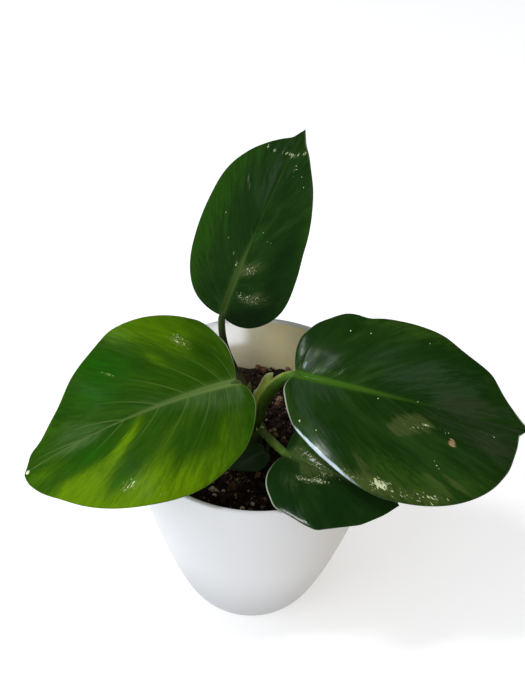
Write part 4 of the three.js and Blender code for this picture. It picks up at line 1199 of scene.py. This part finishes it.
def crumb_shape(draw, detail):
    """A rough lump of about unit size: a sphere of points pushed in and out."""
    rings, sides = detail
    body = [(math.sin(turn) * x, math.sin(turn) * y, math.cos(turn))
            for turn in np.linspace(0, math.pi, rings + 2)[1:-1] for x, y in circle(sides)[0]]
    points = np.array([(0, 0, 1), *body, (0, 0, -1)])
    points = points * draw.uniform(0.72, 1.2, size=(len(points), 1))
    faces = fan_faces(0, 1, sides, True)
    faces += [face[::-1] for face in ring_faces(rings, sides, 1)]
    faces += fan_faces(len(points) - 1, 1 + (rings - 1) * sides, sides, False)
    return points, faces


def random_turn(draw):
    """A matrix that turns a lump any way."""
    matrix, _ = np.linalg.qr(draw.normal(size=(3, 3)))
    return matrix * np.sign(np.linalg.det(matrix))


def add_lump(builder, draw, lump, radius, flat, place, lift):
    """A lump, flattened and turned at random, that stands a lift above the soil at a place."""
    points, faces = lump
    points = (points * draw.uniform(flat, 1, size=3) * radius) @ random_turn(draw).T
    points = points + (*place, soil_height(*place) + lift)
    builder.add(points, faces, tone=draw.random())


def scatter(builder, draw, reach, count, size, lift, flat, detail, around=(0, 0)):
    """Lumps strewn on the soil within a reach of one place, clear of the stem."""
    for _ in range(count):
        lump = crumb_shape(draw, detail)
        radius = draw.uniform(*size) * (0.6 + 0.8 * draw.random() ** 3)
        distance = (reach - radius * 1.1) * math.sqrt(draw.random())
        angle = draw.uniform(0, 2 * math.pi)
        x, y = around[0] + distance * math.cos(angle), around[1] + distance * math.sin(angle)
        if math.hypot(x - STEM_X, y - STEM_Y) < STEM_RADIUS + 0.5:
            continue
        add_lump(builder, draw, lump, radius, flat, (x, y), lift * radius)


def soil_shader(name, dark, light, roughness):
    """A dull rough surface whose tone is set for each lump."""
    s = Shader(name)
    tone = s.attribute("tone")
    grain = s.noise(420, 4, 0.65)
    fine = s.noise(1600, 3, 0.6)
    colour = s.mix(tone, dark, light)
    colour = s.mix(s.ramp(grain, 0.3, 0.75, 0, 0.6), colour, dark)
    normal = s.bump(s.plus(grain, s.times(fine, 0.5)), strength=0.8, depth=0.6)
    return s.finish(colour, roughness, normal, Specular_IOR_Level=0.25)


# Lumps that stand out in the soil, by kind: x, y and radius
LUMPS = {
    "perlite": ((-19.8, -27.6, 1.4), (-17.9, -28.3, 1.1), (-18.5, -32.3, 1.2), (-16.2, -29.4, 0.9),
                (-14.4, -27.9, 1), (-4.9, -36.8, 1.2), (0.2, -33.6, 1)),
    "tan": ((-8.6, -30.5, 1.1), (1.9, -16.5, 1.6), (11.8, 35, 1.5), (10.2, 8.8, 1.3),
            (9.6, 12.8, 1.1), (14.4, 7, 1.3), (7.1, 11.3, 1)),
    "bark": ((-9.8, -25.2, 2.3), (-0.6, 56.3, 1.6), (2.7, 54.9, 1.5), (10.8, 31.3, 1.7)),
    "pink": ((5.3, -31.5, 1.3), (5, -35.1, 1.1), (4.1, -22.5, 1.2), (15.8, 55.4, 1.5)),
}
LUMP_SCALE = 1.25
GRIT_CLUSTER_AT = (-9.5, -18.5)
GRIT_CLUSTER_REACH = 6
GRIT_CLUSTER_SEED = 8
SOIL_SEED = 5

# Dark and light colours of what lies in the pot
PEAT_COLOURS = (0.012, 0.006, 0.005), (0.056, 0.028, 0.022)
GRIT_COLOURS = (0.12, 0.085, 0.055), (0.36, 0.28, 0.2)
FIBRE_COLOURS = (0.05, 0.025, 0.012), (0.2, 0.13, 0.07)
LUMP_COLOURS = {
    "perlite": ((0.36, 0.29, 0.21), (0.62, 0.52, 0.41)),
    "tan": ((0.16, 0.1, 0.05), (0.3, 0.21, 0.11)),
    "bark": ((0.07, 0.03, 0.016), (0.17, 0.085, 0.045)),
    "pink": ((0.22, 0.13, 0.09), (0.36, 0.24, 0.17)),
}


def soil_body(reach, sides=200, rings=100):
    """The whole soil as one skin: its side against the pot, then the rough top."""
    profile = pot_profile(POT_WALL + FIT_GAP, POT_FLOOR + FIT_GAP, 60)
    lower = lathe(profile[profile[:, 1] < SOIL_Z - 2][::-1], sides)
    radius = np.linspace(reach, 0.4, rings)
    x, y = radius[:, None] * circle(sides)[0].T[:, None]
    flat = np.stack([x, y, np.zeros_like(x)], axis=-1)
    z = soil_height(x, y) - 0.6
    z = z + 0.9 * ripples(flat, wavelength=7, seed=3) + 0.6 * ripples(flat, wavelength=3, seed=4)
    foot, head = (0, 0, POT_FLOOR + FIT_GAP), (0, 0, z[-1].mean())
    skin = np.concatenate([lower, np.stack([x, y, z], axis=-1)])
    points = np.concatenate([*skin, [foot], [head]])
    faces = ring_faces(len(skin), sides)
    faces += fan_faces(len(points) - 2, 0, sides, False)
    faces += fan_faces(len(points) - 1, (len(skin) - 1) * sides, sides, True)
    return points, faces


def make_soil():
    """The bed with crumbs, bark, pale grains, single lumps and fibres, from fixed seeds."""
    draw = np.random.default_rng(SOIL_SEED)
    reach = soil_reach()
    peat = soil_shader("peat", *PEAT_COLOURS, 0.85)
    points, faces = soil_body(reach - FIT_GAP)
    bed = new_object("soil", points, faces, peat, dict(tone=np.full(len(points), 0.2)))
    register(bed, "soil", "soil")

    crumbs = Builder()
    scatter(crumbs, draw, reach, count=2000, size=(0.5, 1.3), lift=0.3, flat=0.5, detail=(3, 6))
    scatter(crumbs, draw, reach, count=520, size=(1.2, 2.4), lift=0.25, flat=0.5, detail=(4, 8))
    register(crumbs.make("soil_crumbs", peat, smooth=False), "soil")

    chips = Builder()
    scatter(chips, draw, reach, count=130, size=(0.6, 1.7), lift=0.35, flat=0.3, detail=(4, 8))
    bark = soil_shader("bark", *LUMP_COLOURS["bark"], 0.7)
    register(chips.make("soil_bark", bark), "soil")

    grains = Builder()
    scatter(grains, draw, reach, count=420, size=(0.35, 0.9), lift=0.5, flat=0.6, detail=(4, 8))
    scatter(grains, np.random.default_rng(GRIT_CLUSTER_SEED), GRIT_CLUSTER_REACH, count=90,
            size=(0.35, 0.75), lift=1.2, flat=0.6, detail=(4, 8), around=GRIT_CLUSTER_AT)
    grit = soil_shader("grit", *GRIT_COLOURS, 0.8)
    register(grains.make("soil_grit", grit), "grit")

    for kind, colours in LUMP_COLOURS.items():
        lumps = Builder()
        for x, y, radius in LUMPS[kind]:
            lump = crumb_shape(draw, (6, 10))
            add_lump(lumps, draw, lump, radius * LUMP_SCALE, 0.7, (x, y), 0.45 * radius)
        finish = soil_shader(f"{kind}_lump", *colours, 0.8)
        register(lumps.make(f"soil_{kind}_lumps", finish, smooth=False), "grit")

    fibres = Builder()
    add_fibres(fibres, draw, reach - 8)
    fibre = soil_shader("fibre", *FIBRE_COLOURS, 0.8)
    register(fibres.make("soil_fibres", fibre), "soil")


def add_fibres(builder, draw, reach, count=26, points_each=12):
    """Thin curved roots that lie on the soil, clear of the stem."""
    for _ in range(count):
        distance, angle = reach * math.sqrt(draw.random()), draw.uniform(0, 2 * math.pi)
        x, y = distance * math.cos(angle), distance * math.sin(angle)
        if math.hypot(x - STEM_X, y - STEM_Y) < STEM_RADIUS + 4:
            continue
        heading, length, curl = draw.uniform(0, 6.3), draw.uniform(3, 7), draw.uniform(-1, 1)
        steps = np.linspace(-0.5, 0.5, points_each)
        ahead, aside = length * steps, curl * 4 * steps**2
        x = x + ahead * math.cos(heading) - aside * math.sin(heading)
        y = y + ahead * math.sin(heading) + aside * math.cos(heading)
        line = np.stack([x, y, soil_height(x, y) + 1.2 - 4.8 * steps**2], axis=1)
        radii = np.full(points_each, draw.uniform(0.18, 0.32))
        builder.add(*tube(line, radii, sides=8), tone=draw.random())


# Stage, camera and lights

def make_stage():
    """A wide pale floor with a soft glow of its own."""
    s = Shader("pale_floor")
    clouds = s.noise(2, 2, 0.5)
    colour = s.mix(clouds, (0.86, 0.86, 0.86), (0.88, 0.88, 0.88))
    material = s.finish(colour, 0.9, Emission_Color=(1, 1, 1), Emission_Strength=FLOOR_GLOW)
    size = FLOOR_HALF_SIZE
    points = [(-size, -size, 0), (size, -size, 0), (size, size, 0), (-size, size, 0)]
    floor = new_object("floor", points, [(0, 1, 2, 3)], material, smooth=False)


def make_camera():
    """The camera of the photograph: raised, slightly rolled, and aimed at one point."""
    back = np.array([0, -math.cos(CAMERA_ELEVATION), math.sin(CAMERA_ELEVATION)])
    right = np.array([1.0, 0, 0])
    up = np.cross(back, right)
    turned_right = right * math.cos(CAMERA_ROLL) + up * math.sin(CAMERA_ROLL)
    turned_up = up * math.cos(CAMERA_ROLL) - right * math.sin(CAMERA_ROLL)
    place = (np.array(CAMERA_AIM) + back * CAMERA_DISTANCE) * MM
    data = bpy.data.cameras.new("camera")
    data.sensor_width = SENSOR
    data.lens = SENSOR * FOCAL_PIXELS / PICTURE_HEIGHT
    data.clip_start = 0.01
    camera = bpy.data.objects.new("camera", data)
    columns = np.stack([turned_right, turned_up, back, place], axis=1)
    camera.matrix_world = Matrix([*columns.tolist(), (0, 0, 0, 1)])
    bpy.context.scene.collection.objects.link(camera)
    bpy.context.scene.camera = camera


def area_light(name, heading, rise, distance, size, power, colour, glossy=True):
    """A soft box in that direction from the plant, aimed at it."""
    heading, rise = math.radians(heading), math.radians(rise)
    direction = Vector((math.cos(rise) * math.cos(heading), math.cos(rise) * math.sin(heading),
                        math.sin(rise)))
    data = bpy.data.lights.new(name, "AREA")
    data.shape = "RECTANGLE"
    data.size, data.size_y = size
    data.energy = power
    data.color = colour
    light = bpy.data.objects.new(name, data)
    light.location = Vector(LIGHT_AIM) * MM + direction * distance
    light.rotation_euler = (-direction).to_track_quat("-Z", "Y").to_euler()
    light.visible_glossy = glossy
    bpy.context.scene.collection.objects.link(light)
    return light


def make_world():
    """Soft light from all round: cool and bright on the left, warm and dim on the right."""
    world = bpy.data.worlds.new("studio")
    world.use_nodes = True
    bpy.context.scene.world = world
    sky = Nodes(world.node_tree)
    direction = sky.node("ShaderNodeTexCoord").outputs["Generated"]
    sideways = sky.node("ShaderNodeSeparateXYZ", {0: direction}).outputs["X"]
    span = {"Value": sideways, "From Min": -SKY_BLEND, "From Max": SKY_BLEND}
    share = sky.node("ShaderNodeMapRange", span).outputs[0]
    background = sky.tree.nodes["Background"]
    sky.join(sky.mix(share, SKY_LEFT, SKY_RIGHT), background.inputs["Color"])
    sky.join(SKY_STRENGTH, background.inputs["Strength"])
    world.cycles_visibility.glossy = False


def make_lights():
    """A window lamp, two wide soft fills and a faint bounce on the inner wall of the pot."""
    make_world()
    area_light("window", heading=-156, rise=66, distance=1.5, size=(0.12, 0.24), power=6.5,
               colour=(0.97, 0.99, 1))
    area_light("left_fill", heading=205, rise=30, distance=1.6, size=(1.2, 1), power=7.5,
               colour=(0.9, 0.95, 1), glossy=False)
    area_light("front_fill", heading=-85, rise=45, distance=1.8, size=(1.4, 1), power=3.5,
               colour=(1, 0.98, 0.95), glossy=False)
    inside = area_light("rim_bounce", heading=0, rise=0, distance=0, size=(0.02, 0.02),
                        power=0.0042, colour=(1, 0.98, 0.94), glossy=False)
    inside.location = Vector(BOUNCE_AT) * MM
    aim = Vector(BOUNCE_AIM) - Vector(BOUNCE_AT)
    inside.rotation_euler = aim.to_track_quat("-Z", "Y").to_euler()
    bpy.context.scene.view_settings.view_transform = "Standard"


make_camera()
make_lights()
make_stage()
make_pot()
make_soil()
make_stem()
make_stalks()
make_leaves()
